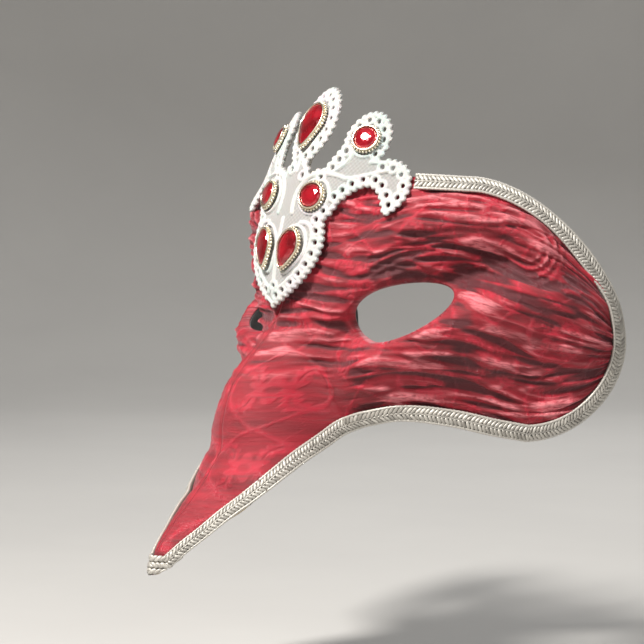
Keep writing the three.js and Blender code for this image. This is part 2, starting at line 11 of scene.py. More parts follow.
import bmesh
import bpy
import numpy as np
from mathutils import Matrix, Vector, noise


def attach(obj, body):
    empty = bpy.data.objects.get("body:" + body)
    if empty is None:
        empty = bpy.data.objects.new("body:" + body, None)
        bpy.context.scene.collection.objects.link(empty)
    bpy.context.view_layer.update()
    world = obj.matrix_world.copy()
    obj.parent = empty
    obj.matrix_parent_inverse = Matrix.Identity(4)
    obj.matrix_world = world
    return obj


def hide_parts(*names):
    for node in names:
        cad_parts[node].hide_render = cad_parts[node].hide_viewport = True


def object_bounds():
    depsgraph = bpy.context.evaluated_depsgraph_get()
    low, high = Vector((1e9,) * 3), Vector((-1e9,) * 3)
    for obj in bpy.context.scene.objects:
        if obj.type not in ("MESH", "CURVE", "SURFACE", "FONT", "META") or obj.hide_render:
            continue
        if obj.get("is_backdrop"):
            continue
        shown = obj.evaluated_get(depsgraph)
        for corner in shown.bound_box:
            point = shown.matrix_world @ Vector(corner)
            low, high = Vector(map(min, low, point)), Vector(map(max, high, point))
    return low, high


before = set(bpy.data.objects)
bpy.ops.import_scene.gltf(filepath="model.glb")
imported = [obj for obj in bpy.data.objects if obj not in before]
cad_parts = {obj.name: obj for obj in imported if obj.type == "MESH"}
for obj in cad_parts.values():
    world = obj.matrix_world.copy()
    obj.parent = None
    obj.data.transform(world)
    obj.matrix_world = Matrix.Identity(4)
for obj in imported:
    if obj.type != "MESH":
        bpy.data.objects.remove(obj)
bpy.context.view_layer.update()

# ---------- driving dimensions ----------
FACE_DEPTH = 100
FACE_HALF_WIDTH = 79
SQUARENESS = 1.8  # 2 is an ellipse seen from above, less is more pointed
FOREHEAD_TAPER = 152  # heights over which the face would close, above and below eye level
CHEEK_TAPER = 150
BROW_RISE = 5
SOCKET_DEPTH = 7
NOSE_FALL = 20  # from the nose's ridge to its sides
REAR_ANGLE = 88  # the outline's rearmost angle, beside the ear
REAR_Z = -14
NOSE_BLEND = 13  # how softly the nose's sides run into the cheeks
REAR_SHARE = 0.975  # of the lower edge's length, where the sheets stop
FLOW_HEIGHT = 90  # the cheek's height in the cloth's own coordinates
NOSE_REACH = 60  # the angle past which the nose no longer shapes the face
TOP_REACH = 45  # the angle where the upper edge starts to fall
REAR_DROP = 32.5  # from the rearmost point to the edges' heights at those two angles
REAR_RISE = 61

SHELL = (0.9, 2.9)  # depths of each layer below the outermost surface
LINING = (3.2, 3.8)
LINING_END = -68  # the felt stops where the beak narrows

BRAID_TOP_END = 31.5  # the angle where the braid meets the crest's arm
BRAID_TAPER = 0.3  # how much narrower the braid is pulled towards the nose's tip
BRAID_TUCK = 1.6  # how far the braid's end reaches on under the crest's arm
BRAID_JOINT = 9.5  # the angle where the nose's braid takes over
BRAID_TIP = 0.985  # the share of the edge where the turn round the tip takes over
TIP_TOP = -85  # the height that the turn round the tip reaches up to

EYE_ANGLE = 28.5
EYE_Z = 0.5
EYE_HALF_LENGTH = 20
EYE_HALF_HEIGHT = 9.5
EYE_SLANT = math.radians(17)
EYE_RADIUS = 90  # of the face at the eyes, for lengths along it

CREST_RADIUS = 95  # flattens the crest's pattern: arc length = angle * this
BACKING = (0.4, 1.2)  # heights over the crest's surface
LACE = (1.5, 3.3)
LOBE = (29, 61.5)  # the middle of the side lobe and of its stone

RING_WIRE = 1.0  # radius
RING_BOW = 8.0  # half the ring's height
RING_REACH = 9.5
RING_REST = math.radians(14)  # the ring leans this far off the wall
TAB_ANGLE = 66
TAB_Z = -4
TAB_STANDOFF = 3.4
TAB_HEIGHT = 10
TAB_LENGTH = 13

SEED = 4
METRES = 0.001  # in a millimetre
UV_SIZE = 100  # millimetres of cloth for 1 in a piece's own cloth coordinates
SIDES = {1: "left", -1: "right"}


# ---------- small tools ----------
def smooth(x, low, high):
    """0 up to `low`, 1 from `high`, and smooth between."""
    t = np.clip((x - low) / (high - low), 0, 1)
    return t * t * (3 - 2 * t)


def hill(x, width):
    return np.exp(-((x / width) ** 2))


def lopsided(x, below, above):
    return hill(x, np.where(x < 0, below, above))


def through(points, x):
    """A smooth curve y(x) through points sorted by x."""
    px, py = np.array(points, float).T
    slope = np.empty_like(py)
    slope[1:-1] = (py[2:] - py[:-2]) / (px[2:] - px[:-2])
    slope[0] = (py[1] - py[0]) / (px[1] - px[0])
    slope[-1] = (py[-1] - py[-2]) / (px[-1] - px[-2])
    x = np.clip(x, px[0], px[-1])
    i = np.clip(np.searchsorted(px, x, side="right") - 1, 0, len(px) - 2)
    span = px[i + 1] - px[i]
    t = (x - px[i]) / span
    rise = 2 * t**3 - 3 * t**2 + 1
    bend = (t**3 - 2 * t**2 + t) * slope[i] + (t**3 - t**2) * slope[i + 1]
    return rise * py[i] + (1 - rise) * py[i + 1] + bend * span


def smooth_max(a, b, blend):
    near = np.maximum(blend - np.abs(a - b), 0) / blend
    return np.maximum(a, b) + near**2 * blend / 4


def dot(a, b):
    return (a * b).sum(-1)


def unit(v):
    return v / np.linalg.norm(v, axis=-1, keepdims=True)


def half_round(x, radius):
    """The height, 0 to 1, of a round cord of that radius whose middle is at x = 0."""
    return np.sqrt(np.clip(1 - (x / radius) ** 2, 0, 1))


def run_along(points):
    """The distance along a line of points to each of them."""
    return np.concatenate([[0], np.cumsum(np.linalg.norm(np.diff(points, axis=0), axis=1))])


def points_at(line, run, at):
    """Points of a flat line at distances along it."""
    return np.stack([np.interp(at, run, line[:, 0]), np.interp(at, run, line[:, 1])], -1)


def full_turn(count):
    return np.linspace(0, 2 * np.pi, count, endpoint=False)


def noise_at(x, y, seed):
    """Smooth noise from about -1 to 1 at each (x, y)."""
    flat = zip(np.ravel(x).tolist(), np.ravel(y).tolist(), strict=True)
    return np.array([noise.noise((a, b, seed * 7.31)) for a, b in flat]).reshape(np.shape(x))


# ---------- the face's surface, as a distance from the upright axis ----------
CHEEKBONE = [(12, -26), (23, -16), (32, -8.5), (42, -2.5), (54, 4.5), (68, 3.5), (88, -4)]
RIDGE = [
    (-92, 57), (-84, 55), (-75.3, 48.5), (-68.2, 41.3), (-62.4, 35.8), (-55.4, 30.5), (-49.5, 26.8),
    (-41.5, 26.3), (-32.2, 24), (-24.4, 20), (-15.7, 12), (-8, 3.5), (0, -6), (10, -17), (20, -30),
]
NOSE_WIDTH = [
    (-92, 7), (-84, 8.5), (-76, 10.5), (-68, 13.3), (-60, 16.3), (-53, 18.8), (-46, 20), (-36, 18.5),
    (-24, 15.5), (-8, 12),
]
NOSE_ROUNDNESS = [(-92, 1.35), (-76, 1.45), (-60, 1.7), (-46, 2.05), (-34, 2.1), (-20, 1.8), (-6, 1.6)]
CREASE_SLANT = 0.7  # how far the nose's dents drop for each millimetre sideways
CREASE_Z = -59  # the dent over the nose's wing


def skull(angle, z):
    side = np.abs(np.sin(np.radians(angle))) / FACE_HALF_WIDTH
    front = np.abs(np.cos(np.radians(angle))) / FACE_DEPTH
    level = (side**SQUARENESS + front**SQUARENESS) ** (-1 / SQUARENESS)
    return level * (1 - (z / np.where(z > 0, FOREHEAD_TAPER, CHEEK_TAPER)) ** 2)


def brow_line(angle):
    return 33 - 16 * ((angle - 40) / 26) ** 2


def brow(angle, z):
    height = BROW_RISE * lopsided(z - brow_line(angle), 6, 11)
    return height * smooth(angle, 14, 32) * (1 - smooth(angle, 61, 73))


def cheekbone(angle, z):
    height = (4.5 + 3 * hill(angle - 28, 16)) * smooth(angle, 9, 24) * (1 - smooth(angle, 74, 88))
    return height * lopsided(z - through(CHEEKBONE, angle), 14, 8)


def socket(angle, z):
    line = through(CHEEKBONE, angle) + 14
    return -SOCKET_DEPTH * hill(z - line, 10) * smooth(angle, 6, 20) * (1 - smooth(angle, 38, 72))


def nose(angle, z):
    x = FACE_DEPTH * np.sin(np.radians(angle))
    slanted = z + CREASE_SLANT * x
    fall = NOSE_FALL * (x / through(NOSE_WIDTH, slanted)) ** through(NOSE_ROUNDNESS, slanted)
    crease = 1.3 * hill(slanted - CREASE_Z, 3) * smooth(x, 0, 4) * (1 - smooth(x, 8, 14))
    return (FACE_DEPTH + through(RIDGE, z) - fall - crease) / np.cos(np.radians(angle))


def mask_radius(signed_angle, z):
    angle = np.abs(signed_angle)
    face = skull(angle, z) + brow(angle, z) + socket(angle, z) + cheekbone(angle, z)
    under_cheek = 2.5 * hill(angle - 48, 20) * hill(z + 31, 9)
    nose_root = 1.5 * hill(angle, 9) * hill(z - 2, 11)
    face = face - under_cheek - nose_root
    with_nose = smooth_max(face, nose(np.minimum(angle, NOSE_REACH), z), NOSE_BLEND)
    return np.where(angle < NOSE_REACH, with_nose, face)


def crest_radius(angle, z):
    return skull(angle, z) + brow(np.abs(angle), z)


# ---------- the mask's outline ----------
LOWER_EDGE = [
    (0, -92.5), (1.2, -90), (3.2, -82.5), (6.2, -72.5), (9.6, -63), (11, -58.2), (12.2, -51.8), (13.3, -46.4),
    (14.5, -44), (16.5, -42.5), (20, -40.6), (28, -38.6), (40, -40.8), (50, -44), (NOSE_REACH, -46.5),
]
UPPER_EDGE = [(0, 46), (20, 48.5), (TOP_REACH, 47)]
UPPER_FALL = 1.65  # 2 would make the fall to the rear an ellipse


def lower_edge(signed_angle):
    angle = np.abs(signed_angle)
    along = np.clip((angle - NOSE_REACH) / (REAR_ANGLE - NOSE_REACH), 0, 1)
    rise = REAR_Z - REAR_DROP * np.sqrt(1 - along**2)
    return np.where(angle < NOSE_REACH, through(LOWER_EDGE, angle), rise)


def upper_edge(signed_angle):
    angle = np.abs(signed_angle)
    along = np.clip((angle - TOP_REACH) / (REAR_ANGLE - TOP_REACH), 0, 1)
    fall = REAR_Z + REAR_RISE * (1 - along**UPPER_FALL) ** (1 / UPPER_FALL)
    return np.where(angle < TOP_REACH, through(UPPER_EDGE, angle), fall)


# ---------- points on and under the surface ----------
def from_axis(angle, z, radius):
    turn = np.radians(angle)
    return np.stack(np.broadcast_arrays(radius * np.sin(turn), -radius * np.cos(turn), z), -1)


def tangents(angle, z, radius_of=mask_radius):
    """Per degree of angle, per millimetre of height, and the outward normal."""
    def at(a, h):
        return from_axis(a, h, radius_of(a, h))

    turn_step, rise_step = 0.2, 0.3
    across = (at(angle + turn_step, z) - at(angle - turn_step, z)) / (2 * turn_step)
    up = (at(angle, z + rise_step) - at(angle, z - rise_step)) / (2 * rise_step)
    return across, up, unit(np.cross(across, up))


SLANT_LIMIT = 3.2  # where the surface runs along the ray, a layer is kept thinner


def slant_factor(angle, z):
    """How much further a ray from the axis goes through a layer than straight through it."""
    facing = dot(tangents(angle, z)[2], from_axis(angle, 0.0, 1.0))
    return np.minimum(1 / np.maximum(facing, 0.05), SLANT_LIMIT)


ZERO = np.zeros(1)
AXIS_Y = float((mask_radius(ZERO, ZERO) - LINING[1] * slant_factor(ZERO, ZERO))[0])


def in_space(angle, z, radius):
    return from_axis(angle, z, radius) + (0, AXIS_Y, 0)


def on_mask(angle, z):
    return in_space(angle, z, mask_radius(angle, z))


def on_crest(x, y, out):
    angle = np.degrees(x / CREST_RADIUS)
    return in_space(angle, y, crest_radius(angle, y) + out)


def walk(angle, z, heading, distance, steps=3):
    """The angle and height a distance along the surface from a point, heading in a direction of space."""
    for _ in range(steps):
        across, up, _normal = tangents(angle, z)
        aa, au, uu = dot(across, across), dot(across, up), dot(up, up)
        ha, hu = dot(heading, across), dot(heading, up)
        size = aa * uu - au * au
        da, dh = (ha * uu - hu * au) / size, (hu * aa - ha * au) / size
        length = np.linalg.norm(across * da[..., None] + up * dh[..., None], axis=-1)
        angle = angle + da * distance / steps / length
        z = z + dh * distance / steps / length
    return angle, z


# ---------- the eyes ----------
def eye_outline(offset):
    """The eye's outline about its middle, moved out by `offset`, as polar angles and reaches."""
    t = np.linspace(0, 2 * np.pi, 361)
    x = EYE_HALF_LENGTH * np.cos(t)
    y = EYE_HALF_HEIGHT * np.sin(t) * (1 - 0.22 * np.cos(t))
    ahead = unit(np.stack([np.gradient(x), np.gradient(y)], -1))
    x, y = x + offset * ahead[:, 1], y - offset * ahead[:, 0]
    turn = np.unwrap(np.arctan2(y, x))
    return turn, np.hypot(x, y)


def eye_polar(angle, z):
    sideways = np.radians(np.abs(angle) - EYE_ANGLE) * EYE_RADIUS
    upwards = z - EYE_Z
    along = sideways * math.cos(EYE_SLANT) + upwards * math.sin(EYE_SLANT)
    across = upwards * math.cos(EYE_SLANT) - sideways * math.sin(EYE_SLANT)
    return np.arctan2(across, along) % (2 * np.pi), np.hypot(along, across)


def eye_point(side, turn, reach):
    along, across = reach * np.cos(turn), reach * np.sin(turn)
    sideways = along * math.cos(EYE_SLANT) - across * math.sin(EYE_SLANT)
    upwards = along * math.sin(EYE_SLANT) + across * math.cos(EYE_SLANT)
    return side * (EYE_ANGLE + np.degrees(sideways / EYE_RADIUS)), EYE_Z + upwards


def eye_reach(turn, offset):
    turns, reaches = eye_outline(offset)
    return np.interp(turn, turns, reaches, period=2 * np.pi)


def eye_share(angle, z, offset=0.0):
    """1 on the eye's outline, less inside it."""
    turn, reach = eye_polar(angle, z)
    return reach / eye_reach(turn, offset)


def layer_point(angle, z, depth):
    """A point at a depth under the outermost surface. Near the eyes it lies straight behind the surface's."""
    inside = on_mask(angle, z) - np.asarray(depth)[..., None] * tangents(angle, z)[2]
    moved = np.degrees(np.arctan2(inside[..., 0], AXIS_Y - inside[..., 1]))
    side = np.sign(angle)
    kept = side * np.maximum(np.abs(angle) * 0.35, moved * side)
    calm = smooth(eye_share(angle, z), 1.05, 1.7)
    kept = angle + (kept - angle) * calm
    height = z + (inside[..., 2] - z) * calm
    return in_space(kept, height, mask_radius(kept, height) - depth * slant_factor(kept, height))


# ---------- meshes ----------
def new_piece(name, points, faces, materials, *, node, slot, body="mask", shade=True, closed=True,
              extras=None, uv=None, face_materials=None):
    """A mesh object from points in millimetres. `extras` are values at each point, which materials read."""
    mesh = bpy.data.meshes.new(name)
    faces = faces.tolist() if isinstance(faces, np.ndarray) else faces
    mesh.from_pydata((np.asarray(points) * METRES).tolist(), [], faces)
    for material in materials:
        mesh.materials.append(material)
    if face_materials is not None:
        mesh.polygons.foreach_set("material_index", np.asarray(face_materials, np.int32))
    for key, values in (extras or {}).items():
        mesh.attributes.new(key, "FLOAT", "POINT").data.foreach_set("value", np.asarray(values, np.float32))
    if uv is not None:
        corners = np.empty(len(mesh.loops), np.int32)
        mesh.loops.foreach_get("vertex_index", corners)
        mesh.uv_layers.new(name="cloth").data.foreach_set("uv", np.asarray(uv, np.float32)[corners].ravel())
    if shade:
        mesh.shade_smooth()
    mesh.update()
    piece = bpy.data.objects.new(name, mesh)
    bpy.context.scene.collection.objects.link(piece)
    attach(piece, body)
    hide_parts(node)
    if closed:
        face_out(mesh)
    return piece


def face_out(mesh):
    """Turns a closed mesh's faces outwards."""
    work = bmesh.new()
    work.from_mesh(mesh)
    bmesh.ops.recalc_face_normals(work, faces=work.faces)
    work.to_mesh(mesh)
    work.free()


def drained(work):
    """The points and faces of a working mesh, which is then freed."""
    points = np.array([v.co for v in work.verts])
    faces = [[v.index for v in face.verts] for face in work.faces]
    work.free()
    return points, faces


def grid_faces(columns, rows, kept=None):
    """Quads of a grid of points, point (i, j) at index i * rows + j."""
    i, j = np.meshgrid(np.arange(columns - 1), np.arange(rows - 1), indexing="ij")
    if kept is not None:
        i, j = i[kept], j[kept]
    here = (i * rows + j).ravel()
    return np.stack([here, here + rows, here + rows + 1, here + 1], -1)


def loop_faces(rings, around, closed=False):
    """Quads between rings of points; closed runs join the last ring to the first."""
    spans = rings if closed else rings - 1
    i, j = np.meshgrid(np.arange(spans), np.arange(around), indexing="ij")
    k, n = (j + 1) % around, (i + 1) % rings
    return np.stack([i * around + j, i * around + k, n * around + k, n * around + j], -1).reshape(-1, 4)


def rod_faces(rings, around):
    """The quads between rings of points, and a cap at each end."""
    last = (rings - 1) * around
    return [*loop_faces(rings, around).tolist(), list(range(around))[::-1], list(range(last, last + around))]


def rim_points(kept, mode):
    """The points of a grid between kept cells and others. `mode` is how the grid's border is padded."""
    padded = np.pad(kept, 1, mode=mode)
    corners = np.stack([padded[1:, 1:], padded[1:, :-1], padded[:-1, 1:], padded[:-1, :-1]])
    return corners.any(0) & ~corners.all(0)


def compact(points, faces, *others):
    """Drops the points that no face uses."""
    used = np.unique(faces)
    where = np.full(len(points), -1)
    where[used] = np.arange(len(used))
    return points[used], where[faces], *[o[used] for o in others]


def rim_edges(faces):
    """Directed edges that only one quad uses."""
    edges = np.concatenate([faces[:, [k, (k + 1) % 4]] for k in range(4)])
    _, first, count = np.unique(np.sort(edges, 1), axis=0, return_index=True, return_counts=True)
    return edges[first[count == 1]]


def thickened(top, bottom, faces):
    """A closed body between two copies of the same faces, with a wall along every rim."""
    rim = rim_edges(faces)
    far = len(top)
    wall = np.stack([rim[:, 1], rim[:, 0], rim[:, 0] + far, rim[:, 1] + far], -1)
    return np.concatenate([top, bottom]), np.concatenate([faces, faces[:, ::-1] + far, wall])


def joined(parts):
    """One (points, faces, tones, slots) from several of (points, faces, tones, slot)."""
    faces, slots, start = [], [], 0
    for points, own, _tones, slot in parts:
        own = own.tolist() if isinstance(own, np.ndarray) else own
        faces += [[v + start for v in face] for face in own]
        slots += [slot] * len(own)
        start += len(points)
    return np.concatenate([p[0] for p in parts]), faces, np.concatenate([p[2] for p in parts]), slots


# ---------- sheets that follow the face ----------
def rear_turns(count=1200):
    """Angles from the face's middle to its rearmost point, closer together near the rear."""
    return REAR_ANGLE * np.sin(np.pi / 2 * np.linspace(0, 1, count) ** 1.4)


def column_angles(count, first=0.0):
    """Angles evenly spaced along the lower edge."""
    turns = rear_turns()
    run = run_along(on_mask(turns, lower_edge(turns)))
    return np.maximum(np.interp(np.linspace(0, REAR_SHARE * run[-1], count + 1), run, turns), first)


def flow(angle, z):
    """Where the cloth's grain puts a point: millimetres along the face from its middle, and up it.

    The grain is level beside the nose and follows the mask's edges on the cheek.
    """
    turns = rear_turns()
    along = np.interp(np.abs(angle), turns, run_along(on_mask(turns, 0 * turns)))
    low, high = lower_edge(angle), upper_edge(angle)
    across = FLOW_HEIGHT * (z - low) / np.maximum(high - low, 1)
    return along, z + 42 + (across - z - 42) * smooth(np.abs(angle), 9, 26)


def face_grid(angles, rows, floor=-200.0, eye_offset=0.0):
    """Angles and heights of a grid between the mask's edges, with its cells inside the eyes left out.

    The points next to an eye are moved on to its outline. Returns angle, z, the kept cells and those points.
    """
    low, high = np.maximum(lower_edge(angles), floor), upper_edge(angles)
    share = np.linspace(0, 1, rows + 1)
    z = low[:, None] + (high - low)[:, None] * share
    angle = np.repeat(angles[:, None], rows + 1, 1)

    def middle(v):
        return (v[1:, 1:] + v[1:, :-1] + v[:-1, 1:] + v[:-1, :-1]) / 4

    kept = eye_share(middle(angle), middle(z), eye_offset) > 1
    rim = rim_points(kept, "edge")
    turn, _reach = eye_polar(angle, z)
    on_line = eye_point(np.sign(angle), turn, eye_reach(turn, eye_offset))
    angle, z = np.where(rim, on_line[0], angle), np.where(rim, on_line[1], z)
    return angle, z, kept, rim


def layer_sheet(angles, rows, depths, floor=-200.0, eye_offset=0.0):
    """A closed sheet between two depths, open at the eyes."""
    angle, z, kept, _rim = face_grid(angles, rows, floor, eye_offset)
    faces = grid_faces(*angle.shape, kept)
    top, bottom = (layer_point(angle, z, np.full(angle.shape, d)).reshape(-1, 3) for d in depths)
    top, faces, bottom = compact(top, faces, bottom)
    return thickened(top, bottom, faces)


# ---------- materials ----------
def put(tree, socket, value):
    """Links a socket to another one, or sets it. A colour is given without its alpha."""
    if isinstance(value, bpy.types.NodeSocket):
        tree.links.new(value, socket)
    else:
        socket.default_value = (*value, 1) if socket.type == "RGBA" else value


def new_material(name):
    material = bpy.data.materials.new(name)
    material.use_nodes = True
    return material, material.node_tree


def finished(material, **values):
    """The material with its shader's inputs linked or set. A space in an input's name is written _ here."""
    tree = material.node_tree
    shader = tree.nodes["Principled BSDF"]
    for key, value in values.items():
        put(tree, shader.inputs[key.replace("_", " ")], value)
    return material


def shader_node(tree, kind, inputs=(), **settings):
    """A node with its settings, and its inputs linked or set."""
    made = tree.nodes.new("ShaderNode" + kind)
    for key, value in settings.items():
        setattr(made, key, value)
    for key, value in dict(inputs).items():
        put(tree, made.inputs[key], value)
    return made


def calc(tree, operation, a, b=0.0, c=0.0):
    return shader_node(tree, "Math", {0: a, 1: b, 2: c}, operation=operation).outputs[0]


def mixed(tree, share, a, b):
    return shader_node(tree, "Mix", {0: share, 6: a, 7: b}, data_type="RGBA").outputs[2]


def ranged(tree, value, low, high, to_low=0.0, to_high=1.0):
    inputs = {"Value": value, "From Min": low, "From Max": high, "To Min": to_low, "To Max": to_high}
    return shader_node(tree, "MapRange", inputs, interpolation_type="SMOOTHSTEP").outputs[0]


def speckle(tree, where, scale, detail=3.0, rough=0.55, warp=0.0):
    inputs = {"Vector": where, "Scale": scale, "Detail": detail, "Roughness": rough, "Distortion": warp}
    return shader_node(tree, "TexNoise", inputs).outputs["Fac"]


def stripes(tree, where, scale, direction, warp=0.0):
    inputs = {"Vector": where, "Scale": scale, "Distortion": warp, "Detail": 2.0, "Detail Scale": 2.0}
    return shader_node(tree, "TexWave", inputs, bands_direction=direction).outputs["Fac"]


def bumped(tree, height, distance, strength=1.0, after=None):
    """A bump of a height in metres, on top of the one before it."""
    inputs = {"Height": height, "Distance": distance, "Strength": strength}
    if after is not None:
        inputs["Normal"] = after
    return shader_node(tree, "Bump", inputs).outputs[0]


def in_object(tree):
    return shader_node(tree, "TexCoord").outputs["Object"]


def in_cloth(tree):
    return shader_node(tree, "UVMap", uv_map="cloth").outputs[0]


def value_of(tree, name):
    return shader_node(tree, "Attribute", attribute_name=name).outputs["Fac"]


def damask_colour(tree, figure, crease, grain, crushed):
    """A satin figure on a matt ground, with grey patches painted in for the satin's sheen, painted shade dark
    in the furrows, under the brow and behind the temple, and a pale painted highlight, with some wear, along
    the crease ridges.
    """
    cloudy = speckle(tree, grain, 3.2, 4, 0.6, 0.4)
    ground = mixed(tree, ranged(tree, cloudy, 0.35, 0.68), (0.22, 0.004, 0.012), (0.42, 0.008, 0.024))
    satin = mixed(tree, ranged(tree, cloudy, 0.3, 0.7), (0.36, 0.008, 0.022), (0.56, 0.016, 0.042))
    # grey-brown patches painted in for the satin's sheen
    grey_sheen = calc(tree, "MULTIPLY", ranged(tree, speckle(tree, grain, 5.5, 4, 0.6, 0.6), 0.5, 0.68), 0.5)
    # painted shade: dark where the crease value is low, in furrows, under the brow and behind the temple
    shaded = calc(tree, "MULTIPLY", ranged(tree, crease, 0.05, -0.45), 0.85)
    # pale painted highlight along the crease ridges, partly also worn pale
    ridge_wear_and_highlight = calc(tree, "MULTIPLY", ranged(tree, crease, 0.3, 0.95), ranged(tree, crushed, 0.3, 0.62))
    colour = mixed(tree, figure, ground, satin)
    colour = mixed(tree, grey_sheen, colour, (0.14, 0.030, 0.032))
    colour = mixed(tree, shaded, colour, (0.06, 0.006, 0.010))
    return mixed(tree, calc(tree, "MULTIPLY", ridge_wear_and_highlight, 0.75), colour, (0.90, 0.27, 0.30))


def damask_material():
    """Crimson damask, woven of fine threads and crushed along its creases."""
    material, tree = new_material("damask")
    cloth = in_cloth(tree)
    # crease: painted highlight on ridges, painted shade in furrows, under the brow and behind the temple
    figure, crease = value_of(tree, "figure"), value_of(tree, "crease")
    grain = shader_node(tree, "Mapping", {"Vector": cloth, "Scale": (1.0, 4.5, 1.0)}).outputs[0]
    crushed = speckle(tree, grain, 22, 5, 0.65, 0.8)
    gloss = calc(tree, "MULTIPLY_ADD", figure, -0.2, 0.52)
    warp, weft = stripes(tree, cloth, 190, "X"), stripes(tree, cloth, 240, "Y")
    normal = bumped(tree, calc(tree, "ADD", warp, calc(tree, "MULTIPLY", weft, 0.8)), 0.00006, 0.6)
    normal = bumped(tree, crushed, 0.0006, 0.55, normal)
    return finished(
        material, Base_Color=damask_colour(tree, figure, crease, grain, crushed),
        Roughness=calc(tree, "MULTIPLY_ADD", crushed, 0.14, calc(tree, "SUBTRACT", gloss, 0.07)),
        Normal=bumped(tree, figure, 0.00022, 0.8, normal), Sheen_Weight=0.35, Sheen_Roughness=0.35,
        Sheen_Tint=(1.0, 0.55, 0.6), Specular_IOR_Level=0.55, Anisotropic=0.35)


def thread_material(name, light, dark, metal, rough):
    """Spun thread: its tone comes from each strand, with a fine twist across it."""
    material, tree = new_material(name)
    place = in_object(tree)
    grime = calc(tree, "MULTIPLY", speckle(tree, place, 120, 4), 0.25)
    fibres = speckle(tree, place, 900, 3, 0.6, 0.4)
    return finished(
        material,
        Base_Color=mixed(tree, calc(tree, "MULTIPLY_ADD", value_of(tree, "tone"), 0.75, grime), dark, light),
        Roughness=calc(tree, "MULTIPLY_ADD", fibres, 0.25, rough - 0.12),
        Normal=bumped(tree, fibres, 0.0002, 0.7), Metallic=metal, Sheen_Weight=0.15, Sheen_Roughness=0.4)


def lace_material():
    """White guipure: packed satin stitches with faint pearly tints, and painted shade greying it in its
    hollows.
    """
    material, tree = new_material("guipure")
    place = in_object(tree)
    pearl = speckle(tree, place, 75, 2, 0.4, 0.8)
    tint = mixed(tree, ranged(tree, pearl, 0.35, 0.5), (0.63, 0.70, 0.67), (0.72, 0.71, 0.68))
    tint = mixed(tree, ranged(tree, pearl, 0.52, 0.66), tint, (0.71, 0.66, 0.685))
    # painted shade: the lower the lace stands, the greyer it is
    raised = ranged(tree, value_of(tree, "relief"), 0.0, 0.6)
    stitches = bumped(tree, stripes(tree, in_cloth(tree), 95, "X", 0.6), 0.00018, 0.9)
    return finished(
        material, Base_Color=mixed(tree, raised, (0.40, 0.385, 0.37), tint), Roughness=0.62,
        Normal=bumped(tree, speckle(tree, place, 1400, 3), 0.00012, 0.7, stitches), Sheen_Weight=0.3,
        Sheen_Roughness=0.4, Subsurface_Weight=0.08, Subsurface_Scale=0.001)


def felt_material():
    """Pressed wool felt: matted fibres, a little lint, and pilling where it rubs."""
    material, tree = new_material("felt")
    place = in_object(tree)
    matted = speckle(tree, place, 420, 6, 0.7, 1.8)
    worn = calc(tree, "MULTIPLY", ranged(tree, speckle(tree, place, 30, 3), 0.5, 0.75), 0.35)
    tint = mixed(tree, ranged(tree, matted, 0.35, 0.75), (0.010, 0.009, 0.009), (0.035, 0.032, 0.032))
    return finished(
        material, Base_Color=mixed(tree, worn, tint, (0.075, 0.066, 0.062)), Roughness=0.95,
        Normal=bumped(tree, matted, 0.0008, 0.8), Sheen_Weight=0.5, Sheen_Roughness=0.55,
        Specular_IOR_Level=0.2)


def paper_material():
    """Papier-mache: overlapping torn strips, brushed with size."""
    material, tree = new_material("papier_mache")
    cells = {"Vector": in_object(tree), "Scale": 70.0}
    strips = shader_node(tree, "TexVoronoi", cells, feature="F1").outputs["Color"]
    edges = shader_node(tree, "TexVoronoi", cells, feature="DISTANCE_TO_EDGE").outputs[0]
    fibre = speckle(tree, in_object(tree), 500, 5, 0.7)
    shade = shader_node(tree, "SeparateColor", {0: strips}).outputs[0]
    tint = mixed(tree, shade, (0.50, 0.40, 0.27), (0.66, 0.57, 0.43))
    tint = mixed(tree, ranged(tree, edges, 0.0, 0.05, 0.5, 0.0), tint, (0.36, 0.27, 0.17))
    torn = bumped(tree, ranged(tree, edges, 0.0, 0.06), 0.0005, 0.8)
    return finished(
        material, Base_Color=mixed(tree, ranged(tree, fibre, 0.55, 0.75, 0.0, 0.4), tint, (0.42, 0.33, 0.22)),
        Roughness=ranged(tree, fibre, 0.3, 0.7, 0.6, 0.88), Normal=bumped(tree, fibre, 0.0005, 0.6, torn))


def buckram_material():
    """Buckram: an open cotton weave stiffened with glue."""
    material, tree = new_material("buckram")
    cloth = in_cloth(tree)
    weave = calc(tree, "MAXIMUM", stripes(tree, cloth, 48, "X", 0.3), stripes(tree, cloth, 48, "Y", 0.3))
    soiled = speckle(tree, in_object(tree), 60, 4)
    tint = mixed(tree, ranged(tree, weave, 0.2, 0.8), (0.42, 0.38, 0.31), (0.76, 0.73, 0.65))
    return finished(
        material, Base_Color=mixed(tree, ranged(tree, soiled, 0.5, 0.8, 0.0, 0.4), tint, (0.58, 0.50, 0.38)),
        Roughness=ranged(tree, soiled, 0.3, 0.7, 0.7, 0.9), Normal=bumped(tree, weave, 0.0003, 0.9))


def stone_material():
    """Foil-backed red glass."""
    material, tree = new_material("red_stone")
    glow = speckle(tree, in_object(tree), 160, 2, 0.4)
    tint = mixed(tree, ranged(tree, glow, 0.3, 0.7), (0.22, 0.001, 0.006), (0.55, 0.006, 0.020))
    return finished(
        material, Base_Color=tint, Roughness=ranged(tree, glow, 0.2, 0.8, 0.04, 0.12), Metallic=0.45,
        Coat_Weight=1.0, Coat_Roughness=0.03, IOR=1.6, Specular_IOR_Level=0.8)


def metal_material(name, bright, tarnished, rough):
    """Polished metal, tarnished in patches and finely scratched."""
    material, tree = new_material(name)
    place = in_object(tree)
    tarnish = speckle(tree, place, 180, 5, 0.65)
    return finished(
        material, Base_Color=mixed(tree, ranged(tree, tarnish, 0.45, 0.75), bright, tarnished),
        Roughness=ranged(tree, tarnish, 0.35, 0.75, rough, rough + 0.22),
        Normal=bumped(tree, speckle(tree, place, 1600, 2, 0.5, 2.0), 0.00005, 0.35), Metallic=1.0)


